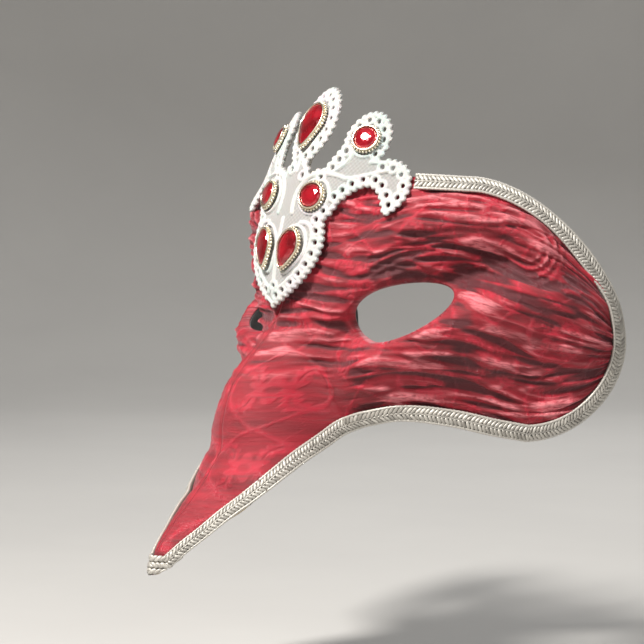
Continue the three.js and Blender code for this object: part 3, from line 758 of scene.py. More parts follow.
def tape_material():
    """Black grosgrain."""
    material, tree = new_material("grosgrain")
    lint = speckle(tree, in_object(tree), 900, 4, 0.7, 1.0)
    worn = ranged(tree, lint, 0.5, 0.8, 0.0, 0.6)
    return finished(
        material, Base_Color=mixed(tree, worn, (0.014, 0.013, 0.014), (0.06, 0.055, 0.055)), Roughness=0.7,
        Normal=bumped(tree, lint, 0.0002, 0.7), Sheen_Weight=0.3, Sheen_Roughness=0.4)


def stage_material():
    """Matt pale paint, faintly clouded."""
    material, tree = new_material("pale_floor")
    tint = mixed(tree, speckle(tree, in_object(tree), 9, 4), (0.46, 0.45, 0.435), (0.51, 0.50, 0.48))
    return finished(material, Base_Color=tint, Roughness=0.9, Specular_IOR_Level=0.2)


DAMASK = damask_material()
BRAID = thread_material("silver_braid", (0.66, 0.63, 0.57), (0.10, 0.085, 0.07), 0.3, 0.4)
BRAID_TAPE = thread_material("braid_tape", (0.16, 0.135, 0.11), (0.06, 0.05, 0.04), 0.0, 0.8)
LACE_WHITE = lace_material()
FELT = felt_material()
PAPER = paper_material()
BUCKRAM = buckram_material()
STONE = stone_material()
GILT = metal_material("pale_gilt", (0.88, 0.81, 0.66), (0.58, 0.49, 0.33), 0.22)
NICKEL = metal_material("nickel", (0.74, 0.73, 0.70), (0.42, 0.40, 0.37), 0.18)
TAPE = tape_material()
RED_THREAD = thread_material("red_thread", (0.40, 0.02, 0.03), (0.12, 0.01, 0.01), 0.0, 0.6)


# ---------- damask panels ----------
COVER_COLUMNS = 280
COVER_ROWS = 190
REPEAT = (24.0, 31.0)  # of the damask's half-drop pattern
EYE_HEM = 0.8  # from the eye's outline to where the cloth starts to turn in
COVER_HEIGHT = 0.15  # of the uncreased cloth
COVER_FLOOR = -0.5  # the lowest a furrow sinks, clear of the shell
COVER_EDGE = 0.65  # the cloth's thickness where its cut edge shows
# How the cloth turns in at an eye: (distance out from the outline, depth), from the surface inwards.
EYE_TURN = [(0.55, 0.04), (0.25, 0.2), (0.0, 0.5), (-0.15, 0.95), (-0.22, 1.6), (-0.22, 2.4), (-0.12, 3.1)]
BROW_RADIUS = 92  # of the face at the brow, for lengths along it
BROW_RIDGES = [(3.4, 0.7), (6.6, 1.0), (9.8, 0.8), (13.2, 0.5)]  # (distance from the roll's middle, strength)


def damask_figure(x, y):
    """1 on the satin figure: ogee stems with a rosette and leaves in each, repeated with a half drop."""
    wide, tall = REPEAT
    column = np.floor(x / wide)
    u = x / wide - column - 0.5
    v = (y / tall + 0.5 * (column % 2)) % 1 - 0.5
    px, py = u * wide, v * tall
    turn, reach = np.arctan2(px, py), np.hypot(px, py)
    petals = 4.6 * (1 + 0.26 * np.cos(6 * turn)) - reach
    centre = reach - 1.4
    stem = (wide / 2 - 1.6) * np.cos(np.pi * v) ** 0.9
    ogee = 0.8 + 0.35 * np.cos(8 * np.pi * v) - np.abs(np.abs(px) - stem)
    figure = np.maximum(np.minimum(petals, centre), ogee)
    for side in (-1, 1):
        for foot in (-1, 1):
            lx, ly = side * px - 4.8, foot * py - 7.0
            along, across = (lx + ly) * 0.707, (ly - lx) * 0.707 + 0.05 * (lx + ly) ** 2
            leaf = 1.9 * np.sqrt(np.clip(1 - (along / 4.9) ** 2, 0, 1)) * (1 + 0.3 * np.sin(along * 2.8))
            vein = 0.3 - np.abs(across + 0.04 * along**2)
            figure = np.maximum(figure, np.minimum(leaf - np.abs(across), -vein))
    return smooth(figure, -0.35, 0.35)


def crease_lines(along, across, length, width, seed, sharp):
    """Thin wandering ridges, 1 on a ridge."""
    drift = 3.5 * noise_at(along / 34, across / 22, seed + 11)
    return hill(noise_at(along / length, (across + drift) / width, seed), sharp)


def brow_roll_lines(angle, z, along):
    """Ridges that follow the brow's roll and turn back round its end at the temple."""
    line = np.linspace(16, 60, 45)
    centre = np.stack([np.radians(line) * BROW_RADIUS, brow_line(line) - 1.5], -1)
    here = np.stack([np.radians(np.abs(angle)) * BROW_RADIUS, z], -1)
    far = np.linalg.norm(here[..., None, :] - centre, axis=-1).min(-1)
    far = far + 0.7 * noise_at(along / 11, z / 11, 31)
    return sum(hill(far - reach, 0.75) * high for reach, high in BROW_RIDGES)


def socket_shade(sides, z):
    """How much painted shade darkens the cloth between the brow's roll and the eye, and how much a painted
    shadow darkens it behind the temple.
    """
    # painted shade under the brow's roll, above the eye
    under_brow = lopsided(z - brow_line(sides) + 13, 9, 8)
    under_brow = under_brow * smooth(sides, 16, 26) * (1 - smooth(sides, 58, 68))
    # painted shadow behind the temple
    temple = smooth(sides, 62, 74) * smooth(z, -4, 10)
    return np.clip(under_brow + 0.85 * temple, 0, 1)


def cloth_relief(angle, z, along, across, seed):
    """Height of the damask over the nominal surface, and a crease value for its colour: high on crease
    ridges, where a highlight is painted, and low in furrows and in the painted shade under the brow and
    behind the temple.
    """
    sides = np.abs(angle)
    off_nose = smooth(sides, 14, 24) + smooth(z, -30, -12) * (1 - smooth(sides, 14, 24))
    busy = 0.16 + 0.84 * np.clip(off_nose, 0, 1)
    patchy = 0.5 + 0.5 * smooth(noise_at(along / 17, across / 12, 3 + seed), -0.3, 0.4)
    long_lines = crease_lines(along, across, 38, 5.6, 1 + seed, 0.15)
    fine_lines = crease_lines(along, across, 20, 3.0, 2 + seed, 0.19)
    roll = brow_roll_lines(angle, z, along)
    roll = roll * smooth(sides, 16, 26) * (1 - smooth(sides, 72, 80)) * smooth(z, -6, 8)
    crease = np.clip(busy * (patchy * (long_lines + 0.7 * fine_lines)) + 0.85 * roll, 0, 1.4)
    furrow = crease_lines(along, across, 34, 4.6, 4 + seed, 0.2) * busy
    shade = socket_shade(sides, z) * (0.75 + 0.5 * noise_at(along / 14, across / 5, 12 + seed))
    broad = 0.6 * noise_at(along / 24, across / 7, 5 + seed) * busy
    crumple = 0.3 * noise_at(along / 4.5, across / 2.2, 6 + seed) * busy
    # the second value carries the painted highlight on ridges and the painted shade in furrows, under the
    # brow and behind the temple
    return 1.25 * crease - 0.85 * furrow + broad + crumple, crease - 0.8 * furrow - 0.95 * shade


def hung_from(rim, points, faces, rings):
    """Adds rings of points to a rim, given as directed edges. Each ring follows the rim's points in order."""
    own = np.unique(rim)
    place = np.searchsorted(own, rim)
    quads, before = [faces], rim
    for k in range(len(rings)):
        after = len(points) + k * len(own) + place
        quads.append(np.stack([before[:, 1], before[:, 0], after[:, 0], after[:, 1]], -1))
        before = after
    return np.concatenate([points, *rings]), np.concatenate(quads)


def eye_turn_rings(turn):
    """Where the cloth turns in over the shell: a ring of points for each step of EYE_TURN."""
    rings = []
    for offset, depth in EYE_TURN:
        angle, z = eye_point(1, turn, eye_reach(turn, offset))
        radius = mask_radius(angle, z) - (depth - COVER_HEIGHT) * slant_factor(angle, z)
        rings.append(in_space(angle, z, radius))
    return rings


def cover_shape(angle, z, along, across, side):
    """The damask's height, with calm edges, puckers round the eye and a sunk seam, and its crease value,
    which carries painted highlight and painted shade.
    """
    relief, crease = cloth_relief(angle, z, along, across, seed=10 * (side < 0))
    from_seam = on_mask(angle, z)[..., 0]
    from_edge = np.minimum(z - lower_edge(angle), upper_edge(angle) - z)
    turn, reach = eye_polar(angle, z)
    from_eye = reach - eye_reach(turn, EYE_HEM)
    calm = smooth(from_edge, 0.5, 6) * (0.25 + 0.75 * smooth(from_eye, 0, 2.2)) * smooth(from_seam, 0, 3)
    puckers = 0.16 * np.cos(46 * turn + 2 * np.sin(5 * turn)) * hill(from_eye - 2.2, 1.8)
    seam = -0.75 * hill(from_seam, 0.55)
    return smooth_max(COVER_HEIGHT + relief * calm + puckers + seam, COVER_FLOOR, 0.5), crease * calm


def cover(side):
    """A damask panel from the nose's ridge to the temple, its edge at the eye turned in over the shell."""
    angle, z, kept, by_eye = face_grid(column_angles(COVER_COLUMNS, 0.012), COVER_ROWS, eye_offset=EYE_HEM)
    along, across = flow(angle, z)
    height, crease = cover_shape(angle, z, along, across, side)
    surface, normal = on_mask(angle, z), tangents(angle, z)[2]
    top, below = (surface + (height - depth)[..., None] * normal for depth in (0, COVER_EDGE))
    uv = np.stack([along, across], -1) / UV_SIZE
    figure = damask_figure(along + 3 * noise_at(along / 25, across / 25, 8), across * 1.15)
    turn, _reach = eye_polar(angle, z)
    top, *others = (v.reshape(-1, *v.shape[2:]) for v in (top, below, uv, turn, by_eye, figure, crease))
    points, faces, below, uv, turn, by_eye, figure, crease = compact(
        top, grid_faces(*angle.shape, kept), *others)
    rim = rim_edges(faces)
    at_eye = by_eye[rim].all(1)
    eye_rim, outer_rim = np.unique(rim[at_eye]), np.unique(rim[~at_eye])
    source = np.concatenate([np.arange(len(points)), np.tile(eye_rim, len(EYE_TURN)), outer_rim])
    points, faces = hung_from(rim[at_eye], points, faces, eye_turn_rings(turn[eye_rim]))
    points, faces = hung_from(rim[~at_eye], points, faces, [below[outer_rim]])
    points[:, 0] *= side
    if side < 0:
        faces = faces[:, ::-1]
    word = SIDES[side]
    # the crease attribute carries the painted highlight and painted shade that the damask's colour reads
    return new_piece(f"damask_{word}", points, faces, [DAMASK], node=f"cover_{word}", slot="damask",
                     closed=False, extras={"figure": figure[source], "crease": crease[source]}, uv=uv[source])


# ---------- shell and lining ----------
LAYER_COLUMNS = 150  # on each side
SHELL_ROWS = 110
LINING_ROWS = 100
LINING_EYE = 0.3  # how much wider the felt's eye openings are


def both_sides(count):
    """Column angles from one temple to the other."""
    half = column_angles(count)
    return np.concatenate([-half[:0:-1], half])


def shell():
    points, faces = layer_sheet(both_sides(LAYER_COLUMNS), SHELL_ROWS, SHELL)
    return new_piece("shell_paper", points, faces, [PAPER], node="shell", slot="papier_mache")


def lining():
    points, faces = layer_sheet(both_sides(LAYER_COLUMNS), LINING_ROWS, LINING, floor=LINING_END,
                                eye_offset=LINING_EYE)
    return new_piece("lining_felt", points, faces, [FELT], node="lining", slot="felt")


# ---------- brow pad ----------
PAD_HALF_SPAN = 34.0  # degrees
PAD_Z = 36.0
PAD_HALF_WIDTH = 7
PAD_THICKNESS = 4
PAD_DEPTH = LINING[1] + 1.1
PAD_STITCH_LINES = 8


def brow_pad():
    """A felt-covered foam strip across the forehead, quilted by upright stitch lines."""
    run = np.linspace(-0.985, 0.985, 150)
    ends = np.sqrt(1 - (0.97 * run) ** 4)[:, None]
    turn = full_turn(40)
    rise = np.sign(np.cos(turn)) * np.abs(np.cos(turn)) ** 0.75
    crown = np.where(np.sin(turn) > 0, np.abs(np.sin(turn)) ** 0.9, 0)
    quilt = 1 - 0.3 * hill((run * PAD_STITCH_LINES / 2) % 1 - 0.5, 0.09)[:, None]
    angle = np.repeat((run * PAD_HALF_SPAN)[:, None], len(turn), 1)
    z = PAD_Z + PAD_HALF_WIDTH * ends * rise
    points = layer_point(angle, z, PAD_DEPTH + PAD_THICKNESS * ends * quilt * crown)
    return new_piece("forehead_pad", points.reshape(-1, 3), rod_faces(len(run), len(turn)), [FELT],
                     node="brow_pad", slot="felt")


# ---------- braid ----------
# Sizes across it are distances in from the mask's edge, and heights are over the damask.
STITCH_PITCH = 1.5
STITCH_SIZE = (3.3, 1.35, 1.15)
STITCH_SLANT = math.radians(52)
STITCH_HEIGHT = 1.62
STITCH_TILT = 0.16
ROWS_AT = (1.05, 3.75)  # the plait's two rows
TAPE_SPAN = (-0.45, 5.25)
TAPE_HEIGHTS = (0.25, 1.15)
TAPE_TONE = 0.4
# The cords along it: (place across, height, radius, tone, sway).
CORDS = [(-0.32, 1.35, 0.5, 0.85, 0.08), (5.12, 1.35, 0.5, 0.85, 0.08), (2.4, 1.85, 0.36, 0.6, 0.12)]
CORD_TWIST = 1.1
# The rows of stitches round the tip: (height over the lowest point, half length, lean).
TIP_ROWS = [(0.9, 2.6, 1), (3.1, 4.4, -1), (5.3, 5.8, 1)]
TIP_PITCH = 1.05
TIP_STITCH = (2.7, 1.25, 1.0)
BRAID_SLOT, TAPE_SLOT = 0, 1


def edge_run():
    """The mask's edge from the crest's arm by the temple to the nose's tip: angle, z and share of the run."""
    turns = rear_turns(700)
    top = turns[(turns > BRAID_TOP_END - math.degrees(BRAID_TUCK / CREST_RADIUS)) & (turns < REAR_ANGLE)]
    bottom = turns[::-1]
    angle = np.concatenate([top, bottom])
    z = np.concatenate([upper_edge(top), lower_edge(bottom)])
    run = run_along(np.stack([np.radians(angle) * CREST_RADIUS, z], -1))
    return angle, z, run / run[-1]


EDGE_ANGLE, EDGE_Z, EDGE_SHARE = edge_run()
EDGE_LENGTH = run_along(on_mask(EDGE_ANGLE, EDGE_Z))  # from the run's start to each of its points


def share_at_joint():
    """Where along the edge the nose's braid takes over from the face's."""
    half = len(EDGE_ANGLE) // 2
    return float(np.interp(-BRAID_JOINT, -EDGE_ANGLE[half:], EDGE_SHARE[half:]))


def along_edge(points, side):
    """Bends a flat pattern on to the mask's edge: x runs along it, y in from it and z off the cloth."""
    share = np.interp(points[:, 0], EDGE_LENGTH, EDGE_SHARE)

    def at(s):
        s = np.clip(s, 0, 1)
        return np.interp(s, EDGE_SHARE, EDGE_ANGLE), np.interp(s, EDGE_SHARE, EDGE_Z)

    narrowed = 1 - BRAID_TAPER * smooth(share, 0.82, 0.97)
    a, z = at(share)
    ahead = on_mask(*at(share + 0.004)) - on_mask(*at(share - 0.004))
    inward = unit(np.cross(ahead, tangents(a, z)[2]))
    a, z = walk(a, z, inward, points[:, 1] * narrowed)
    bent = on_mask(a, z) + points[:, 2:] * tangents(a, z)[2]
    bent[:, 0] *= side
    return bent


def capsule(length, width, height, around=8, along=5):
    """A stitch along x: rings that close towards its ends."""
    turn = full_turn(around)
    place = np.sin(np.linspace(-np.pi / 2, np.pi / 2, along + 2)[1:-1])
    thick = np.sqrt(1 - place**2) ** 0.7
    x = np.repeat(place * length / 2, around)
    y = (thick[:, None] * np.cos(turn) * width / 2).ravel()
    z = (thick[:, None] * np.sin(turn) * height / 2).ravel()
    return np.stack([x, y, z], -1), rod_faces(along, around)


def scattered(template, places, tones, slot):
    """Copies of a template at (x, y, z, turn in the plane, tilt out of it)."""
    points, faces = template
    x, y, z, turn, tilt = (np.asarray(v, float)[:, None] for v in zip(*places, strict=True))
    c, s = np.cos(turn), np.sin(turn)
    px, py, pz = points.T[:, None, :]
    made = np.stack([x + px * c - py * s, y + px * s + py * c, z + pz + px * np.sin(tilt)], -1)
    count = len(points)
    all_faces = [[v + k * count for v in face] for k in range(len(places)) for face in faces]
    return made.reshape(-1, 3), all_faces, np.repeat(tones, count), slot


def flat_cord(start, end, y, z, radius, tone, wave):
    """A cord along x, its section twisted a little thick and thin."""
    x = np.arange(start, end, 0.5)
    turn = full_turn(8)
    thick = radius * (1 + 0.14 * np.cos(2 * np.pi * x / CORD_TWIST))
    cy = y + thick[:, None] * np.cos(turn) + wave * np.sin(2 * np.pi * x / STITCH_PITCH)[:, None]
    cz = z + thick[:, None] * np.sin(turn)
    points = np.stack([np.repeat(x, len(turn)), cy.ravel(), cz.ravel()], -1)
    return points, rod_faces(len(x), len(turn)), np.full(len(points), tone), BRAID_SLOT


def flat_tape(start, end):
    """The braid's woven ground, a flat strip with rounded edges."""
    x = np.arange(start, end, 1.0)
    (low, high), (foot, top) = TAPE_SPAN, TAPE_HEIGHTS
    middle, swell = (foot + top) / 2, 0.15
    y, z = np.array([(low, foot), (high, foot), (high + swell, middle), (high, top), (low, top),
                     (low - swell, middle)]).T
    points = np.stack([np.repeat(x, len(y)), np.tile(y, len(x)), np.tile(z, len(x))], -1)
    return points, rod_faces(len(x), len(y)), np.full(len(points), TAPE_TONE), TAPE_SLOT


def braid_pattern(start, end, random):
    """Two rows of slanting stitches over a tape, with a cord along each side and a finer one between."""
    parts = [flat_tape(start, end)]
    template = capsule(*STITCH_SIZE)
    for row, lean in zip(ROWS_AT, (1, -1), strict=True):
        count = round((end - start) / STITCH_PITCH)
        x = start + (np.arange(count) + 0.5) * (end - start) / count
        places = [(v, row + j, STITCH_HEIGHT, lean * (STITCH_SLANT + j), STITCH_TILT)
                  for v, j in zip(x, random.normal(0, 0.06, count), strict=True)]
        parts.append(scattered(template, places, random.uniform(0.4, 1.0, count), BRAID_SLOT))
    return joined([*parts, *(flat_cord(start, end, *cord) for cord in CORDS)])


def braid_piece(name, node_name, points, faces, tones, slots):
    return new_piece(name, points, faces, [BRAID, BRAID_TAPE], node=node_name, slot="braid",
                     extras={"tone": tones}, face_materials=slots)


def braid(part, start, end, side, random):
    """A run of braid along the mask's edge."""
    points, *rest = braid_pattern(start, end, random)
    braid_piece(f"gimp_{part}", f"braid_{part}", along_edge(points, side), *rest)


def round_tip(points):
    """Bends a flat pattern round the nose's tip: x runs across the ridge, y up from the lowest point."""
    height = LOWER_EDGE[0][1] + 0.6 + points[:, 1]
    per_degree = on_mask(np.full(len(points), 2.0), height)[:, 0] / 2
    limit = np.interp(height, [z for _, z in LOWER_EDGE[:3]], [a for a, _ in LOWER_EDGE[:3]]) + 0.3
    return layer_point(np.clip(points[:, 0] / per_degree, -limit, limit), height, -points[:, 2])


def braid_tip(random):
    """The braid turned round the tip: a strip of tape with rows of stitches across it."""
    angles = np.linspace(-2.6, 2.6, 40)
    low = lower_edge(angles)
    share = np.linspace(0, 1, 16)
    z = low[:, None] + (TIP_TOP - 0.6 - low)[:, None] * share
    angle = np.repeat(angles[:, None], len(share), 1)
    sides = [layer_point(angle, z, np.full(z.shape, d)).reshape(-1, 3) for d in (-1.0, -0.2)]
    plate, quads = thickened(*sides, grid_faces(*z.shape))
    parts = [(plate, quads, np.full(len(plate), TAPE_TONE), TAPE_SLOT)]
    for y, half, lean in TIP_ROWS:
        x = np.arange(-half, half + 0.1, TIP_PITCH)
        places = [(v, y, 1.25, lean * STITCH_SLANT, 0.1) for v in x]
        tones = random.uniform(0.55, 1.0, len(x))
        points, *rest = scattered(capsule(*TIP_STITCH), places, tones, BRAID_SLOT)
        parts.append((round_tip(points), *rest))
    braid_piece("braid_tip_wrap", "braid_tip", *joined(parts))


# ---------- crest ----------
# Its pattern is drawn flat: x is arc length from the middle, y is height.
LACE_CELL = 0.4
BUCKRAM_CELL = 0.7
RIM_CORD = 0.75  # radii
VEIN = 0.85
STONE_RING = 0.7
EYELET = 0.8
PICOT = 0.95
PICOT_PITCH = 2.1
EYELET_PITCH = 3.5
EYELET_INSET = 2.5
TIP_EYELET = (0, 8.5)  # the one in the tongue's tip
GROUND_PITCH = 1.7


def bezier(*points):
    """Points along a chain of cubic curves, given as a start and three more for each curve."""
    run = [np.array(points[0], float)]
    for k in range(1, len(points), 3):
        a, b, c, d = run[-1], *np.array(points[k:k + 3], float)
        for t in np.linspace(0, 1, 13)[1:]:
            run.append((1 - t) ** 3 * a + 3 * (1 - t) ** 2 * t * b + 3 * (1 - t) * t**2 * c + t**3 * d)
    return np.array(run)


def mirror(points, side):
    return np.asarray(points, float) * (side, 1)


def both_halves(half):
    """A closed outline from its +X half."""
    return np.concatenate([half, mirror(half, -1)[::-1]])


def tongue_outline():
    side = bezier((0, 1), (8, 6), (18, 14), (19, 24), (19.5, 30), (16, 33), (20, 36))
    return both_halves(np.concatenate([side, [(20, 46)]]))


def drop_outline(grow=0.0):
    wide, top = 11 + grow, 80 + grow
    return both_halves(bezier((0, 48 - grow), (4, 55), (wide, 58), (wide, 67), (wide, 75), (5, top),
                              (0, top)))


def arm_outline(side):
    arm = bezier((14, 37), (21, 33), (24, 44), (33, 45), (38, 45), (39.5, 40), (42, 34.5), (49, 38), (51, 43),
                 (49, 49), (46, 55), (38, 54), (30, 54), (22, 53), (17, 52), (10, 48))
    return mirror(arm, side)


def disc_outline(x, y, radius):
    turn = full_turn(60)
    return np.stack([x + radius * np.cos(turn), y + radius * np.sin(turn)], -1)


def line_distance(points, line):
    """Distance to a polyline."""
    best = np.full(points.shape[:-1], 1e9)
    for a, b in zip(line[:-1], line[1:], strict=True):
        run = b - a
        size = run @ run
        if size == 0:
            continue
        t = np.clip((points - a) @ run / size, 0, 1)
        best = np.minimum(best, np.linalg.norm(points - a - t[..., None] * run, axis=-1))
    return best


def outline_distance(points, outline):
    """Distance to a closed outline, negative inside it."""
    closed = np.concatenate([outline, outline[:1]])
    inside = np.zeros(points.shape[:-1], bool)
    for a, b in zip(closed[:-1], closed[1:], strict=True):
        if a[1] == b[1]:
            continue
        crosses = (a[1] > points[..., 1]) != (b[1] > points[..., 1])
        at = a[0] + (points[..., 1] - a[1]) * (b[0] - a[0]) / (b[1] - a[1])
        inside ^= crosses & (points[..., 0] < at)
    return np.where(inside, -1, 1) * line_distance(points, closed)


def smooth_min(a, b, blend):
    return -smooth_max(-a, -b, blend)


def union_distance(points, outlines, blend=1.2):
    """Distance to the rim of all the outlines together, rounded where they meet."""
    total = outline_distance(points, outlines[0])
    for outline in outlines[1:]:
        total = smooth_min(total, outline_distance(points, outline), blend)
    return total


def rim_places(outlines, pitch, inset, clear):
    """Places at an even pitch along the rim of the outlines' union, each `inset` in from it."""
    found = []
    for outline in outlines:
        closed = np.concatenate([outline, outline[:1]])
        run = run_along(closed)
        at = np.arange(0, run[-1], pitch)
        rim = points_at(closed, run, at)
        ahead = points_at(closed, run, at + 0.1) - rim
        out = unit(np.stack([ahead[:, 1], -ahead[:, 0]], -1) + 1e-9)
        out = out * np.where(outline_distance(rim + 0.3 * out, outline) > 0, 1, -1)[:, None]
        on_rim = union_distance(rim, outlines) > -0.25
        for place in (rim - inset * out)[on_rim]:
            if all(np.hypot(*(place - other)) > clear for other in found):
                found.append(place)
    return np.array(found)


def placed_stone(x, y, half_width, half_height, *, point=0, height=2.8, lean=0):
    """A stone's place on the crest and its cut: `point` makes it a pear shape, `lean` is in degrees."""
    return {"x": x, "y": y, "half_width": half_width, "half_height": half_height, "point": point,
            "height": height, "lean": lean}


STONES = {
    "top_drop": placed_stone(0, 67, 5, 7.6, point=0.9, height=3.2),
    "lobe_left": placed_stone(*LOBE, 4.2, 4.2),
    "middle_left": placed_stone(12.5, 41, 4.3, 4.3),
    "tongue_left": placed_stone(6.6, 22.5, 4, 6.2, point=0.9, lean=-16),
}
for key in ("lobe", "middle", "tongue"):
    own = STONES[f"{key}_left"]
    STONES[f"{key}_right"] = {**own, "x": -own["x"], "lean": -own["lean"]}


def stone_outline(stone, grow, turn):
    """A round or pear shape, `grow` larger all round."""
    low = np.maximum(-np.sin(turn), 0)
    x = (stone["half_width"] + grow) * np.cos(turn) * (1 - 0.35 * stone["point"] * low)
    y = (stone["half_height"] + grow) * np.sin(turn) * (1 + 0.2 * stone["point"] * low**3)
    return np.stack([x, y], -1)


def stone_on_crest(stone, grow):
    """A stone's outline on the crest's flat pattern."""
    local = stone_outline(stone, grow, full_turn(40))
    c, s = math.cos(math.radians(stone["lean"])), math.sin(math.radians(stone["lean"]))
    return local @ np.array([[c, s], [-s, c]]) + (stone["x"], stone["y"])


def from_stones(points, grow, combine=lambda far: far):
    """Distance to the nearest stone's outline, grown; `combine` is applied to each one's first."""
    return np.min([combine(outline_distance(points, stone_on_crest(s, grow))) for s in STONES.values()], 0)


def lace_outlines():
    """The crest's tongue, top drop and middle, then each side's disc, lobe, arm and the web between them."""
    outlines = [tongue_outline(), drop_outline(), disc_outline(0, 47, 7)]
    for side in SIDES:
        outlines += [disc_outline(side * 13, 41, 9.5), disc_outline(side * LOBE[0], LOBE[1], 9.5),
                     arm_outline(side), mirror([(11, 46), (30, 46), (36, 60), (24, 66)], side)]
    return outlines


def lace_veins():
    """Raised cords worked over the lace's ground."""
    veins = [bezier((0, 5), (-0.5, 12), (0.5, 20), (0, 33)), bezier((0, 50), (0.6, 53), (-0.4, 55), (0, 57))]
    for side in SIDES:
        veins += [mirror(v, side) for v in (
            bezier((3, 8), (10, 12), (14.5, 18), (15, 26), (15, 30), (13, 32), (9, 31.5)),
            bezier((4, 35), (2.5, 41), (4, 46), (9, 48.5), (14, 50), (20, 49), (24, 47.5), (32, 48), (38, 51),
                   (45, 50.5), (48, 48), (47.5, 43), (44, 40)),
            bezier((18, 50), (22, 52), (24, 54), (24.5, 57)),
            bezier((7.5, 58), (8.8, 62), (9, 66), (8.2, 71), (6, 75.5), (3, 77), (0, 77.2)),
        )]
    return veins


def plate_grid(low, high, cell, distance_of):
    """A flat grid cut where the distance is 0, its rim points moved on to that line: (points, quads)."""
    x = np.arange(low[0], high[0] + cell, cell)
    y = np.arange(low[1], high[1] + cell, cell)
    grid = np.stack(np.meshgrid(x, y, indexing="ij"), -1)
    middle = (grid[1:, 1:] + grid[:-1, :-1]) / 2
    kept = distance_of(middle) < 0
    rim = rim_points(kept, "constant")
    near, step = grid[rim], 0.05
    for _ in range(3):
        here = distance_of(near)
        slope = np.stack([distance_of(near + way) - distance_of(near - way)
                          for way in ((step, 0), (0, step))], -1) / (2 * step)
        push = here[:, None] * slope / np.maximum((slope**2).sum(-1, keepdims=True), 0.2)
        near = near - np.clip(push, -0.6 * cell, 0.6 * cell)
    grid[rim] = near
    points, faces = grid.reshape(-1, 2), grid_faces(len(x), len(y), kept)
    return compact(points, faces)


def lace_holes():
    """Eyelets along the rim, clear of the stones, and the one in the tongue's tip."""
    outlines = lace_outlines()
    places = rim_places(outlines, 1.2, EYELET_INSET, EYELET_PITCH)
    deep = union_distance(places, outlines) < -2.0
    return np.concatenate([places[deep & (from_stones(places, 1.1) > 1.4)], [TIP_EYELET]])


def lace_relief(points, cord):
    """How far the lace stands up, 0 to 1: corded rims and veins, a ring round each stone, and the ground."""
    x, y = points.T
    vein = np.max([half_round(line_distance(points, v), VEIN) for v in lace_veins()], 0)
    ring = half_round(from_stones(points, 1.9, np.abs), STONE_RING)
    ground = (0.5 + 0.25 * np.cos(2 * np.pi * (x + y) / GROUND_PITCH)
              + 0.25 * np.cos(2 * np.pi * (x - y) / GROUND_PITCH))
    free = smooth(from_stones(points, 1.2), -0.2, 0.4)
    return np.maximum.reduce([cord, vein * free, ring * free, 0.28 * ground * free])


def on_crest_sheet(points, faces, top, bottom, name, material, **said):
    """A closed sheet on the crest from a flat pattern, between two heights off it."""
    solid, quads = thickened(on_crest(*points.T, top), on_crest(*points.T, bottom), faces)
    return new_piece(name, solid, quads, [material], uv=np.concatenate([points, points]) / UV_SIZE, **said)


def crest_lace():
    """Guipure: an open-edged plate with a cord round every rim and hole, raised veins, and picots outside."""
    outlines, holes = lace_outlines(), lace_holes()
    picots = rim_places(outlines, 0.5, 0.1, PICOT_PITCH)

    def distance_of(points):
        total = union_distance(points, outlines)
        for place in picots:
            total = smooth_min(total, np.linalg.norm(points - place, axis=-1) - PICOT, 0.5)
        for place in holes:
            total = np.maximum(total, EYELET - np.linalg.norm(points - place, axis=-1))
        return total

    points, faces = plate_grid((-53, -1), (53, 82), LACE_CELL, distance_of)
    cord = half_round(-distance_of(points) - RIM_CORD, RIM_CORD)
    relief = lace_relief(points, cord)
    return on_crest_sheet(points, faces, LACE[0] + 1.15 + 1.05 * relief, LACE[0] + 0.55 - 0.5 * cord,
                          "crest_guipure", LACE_WHITE, node="crest_lace", slot="lace",
                          extras={"relief": np.tile(relief, 2)})


def crest_backing():
    """The stiffener behind the lace."""
    spoke = [(15, 46), (23, 44), (34, 60), (26, 64)]
    bridge = [(-24, 41), (24, 41), (24, 50), (4, 50), (4, 66), (-4, 66), (-4, 50), (-24, 50)]
    outlines = [np.array(bridge, float), drop_outline(-2.5)]
    for side in SIDES:
        outlines += [disc_outline(side * LOBE[0], LOBE[1], 7), mirror(spoke, side)]
    points, faces = plate_grid((-38, 39), (38, 80), BUCKRAM_CELL, lambda p: union_distance(p, outlines))
    return on_crest_sheet(points, faces, BACKING[1], BACKING[0], "crest_buckram", BUCKRAM,
                          node="crest_backing", slot="buckram")


# ---------- stones ----------
GIRDLE = 1.6  # the height where the crown starts
BEAD_RADIUS = 0.52
BEAD_PITCH = 1.25
BEAD_HEIGHT = 0.75


def crest_seat(stone):
    """The placement of something that stands on the crest, facing out: (matrix, origin)."""
    x, y = np.array(float(stone["x"])), np.array(float(stone["y"]))
    out = tangents(np.degrees(x / CREST_RADIUS), y, crest_radius)[2]
    origin = on_crest(x, y, LACE[1] + 0.35)
    sideways = unit(np.cross((0, 0, 1), out))
    lean = math.radians(stone["lean"])
    up = np.cross(out, sideways)
    x = sideways * math.cos(lean) + up * math.sin(lean)
    y = up * math.cos(lean) - sideways * math.sin(lean)
    return np.stack([x, y, out]), origin


def seated(points, seat):
    """Points of a part's own frame, moved to its seat on the mask."""
    basis, origin = seat
    return points @ basis + origin


def stone_points(stone):
    """Corners of the cut: two tiers for the table, then crown, girdle and foot."""
    rise = stone["height"] - GIRDLE
    # (share of the outline, height, corners, turned by this share of a corner)
    tiers = [(0.36, stone["height"], 8, 0.5), (0.62, GIRDLE + 0.88 * rise, 8, 0.0),
             (0.86, GIRDLE + 0.5 * rise, 16, 0.0), (1.0, 1.62, 16, 0.5), (1.0, 1.4, 16, 0.5),
             (0.7, 0.9, 16, 0.5)]
    points = []
    for share, height, count, shift in tiers:
        turn = 2 * np.pi * (np.arange(count) + shift) / count
        flat = stone_outline(stone, 0, turn) * share
        points.append(np.column_stack([flat, np.full(count, height)]))
    return np.concatenate(points)


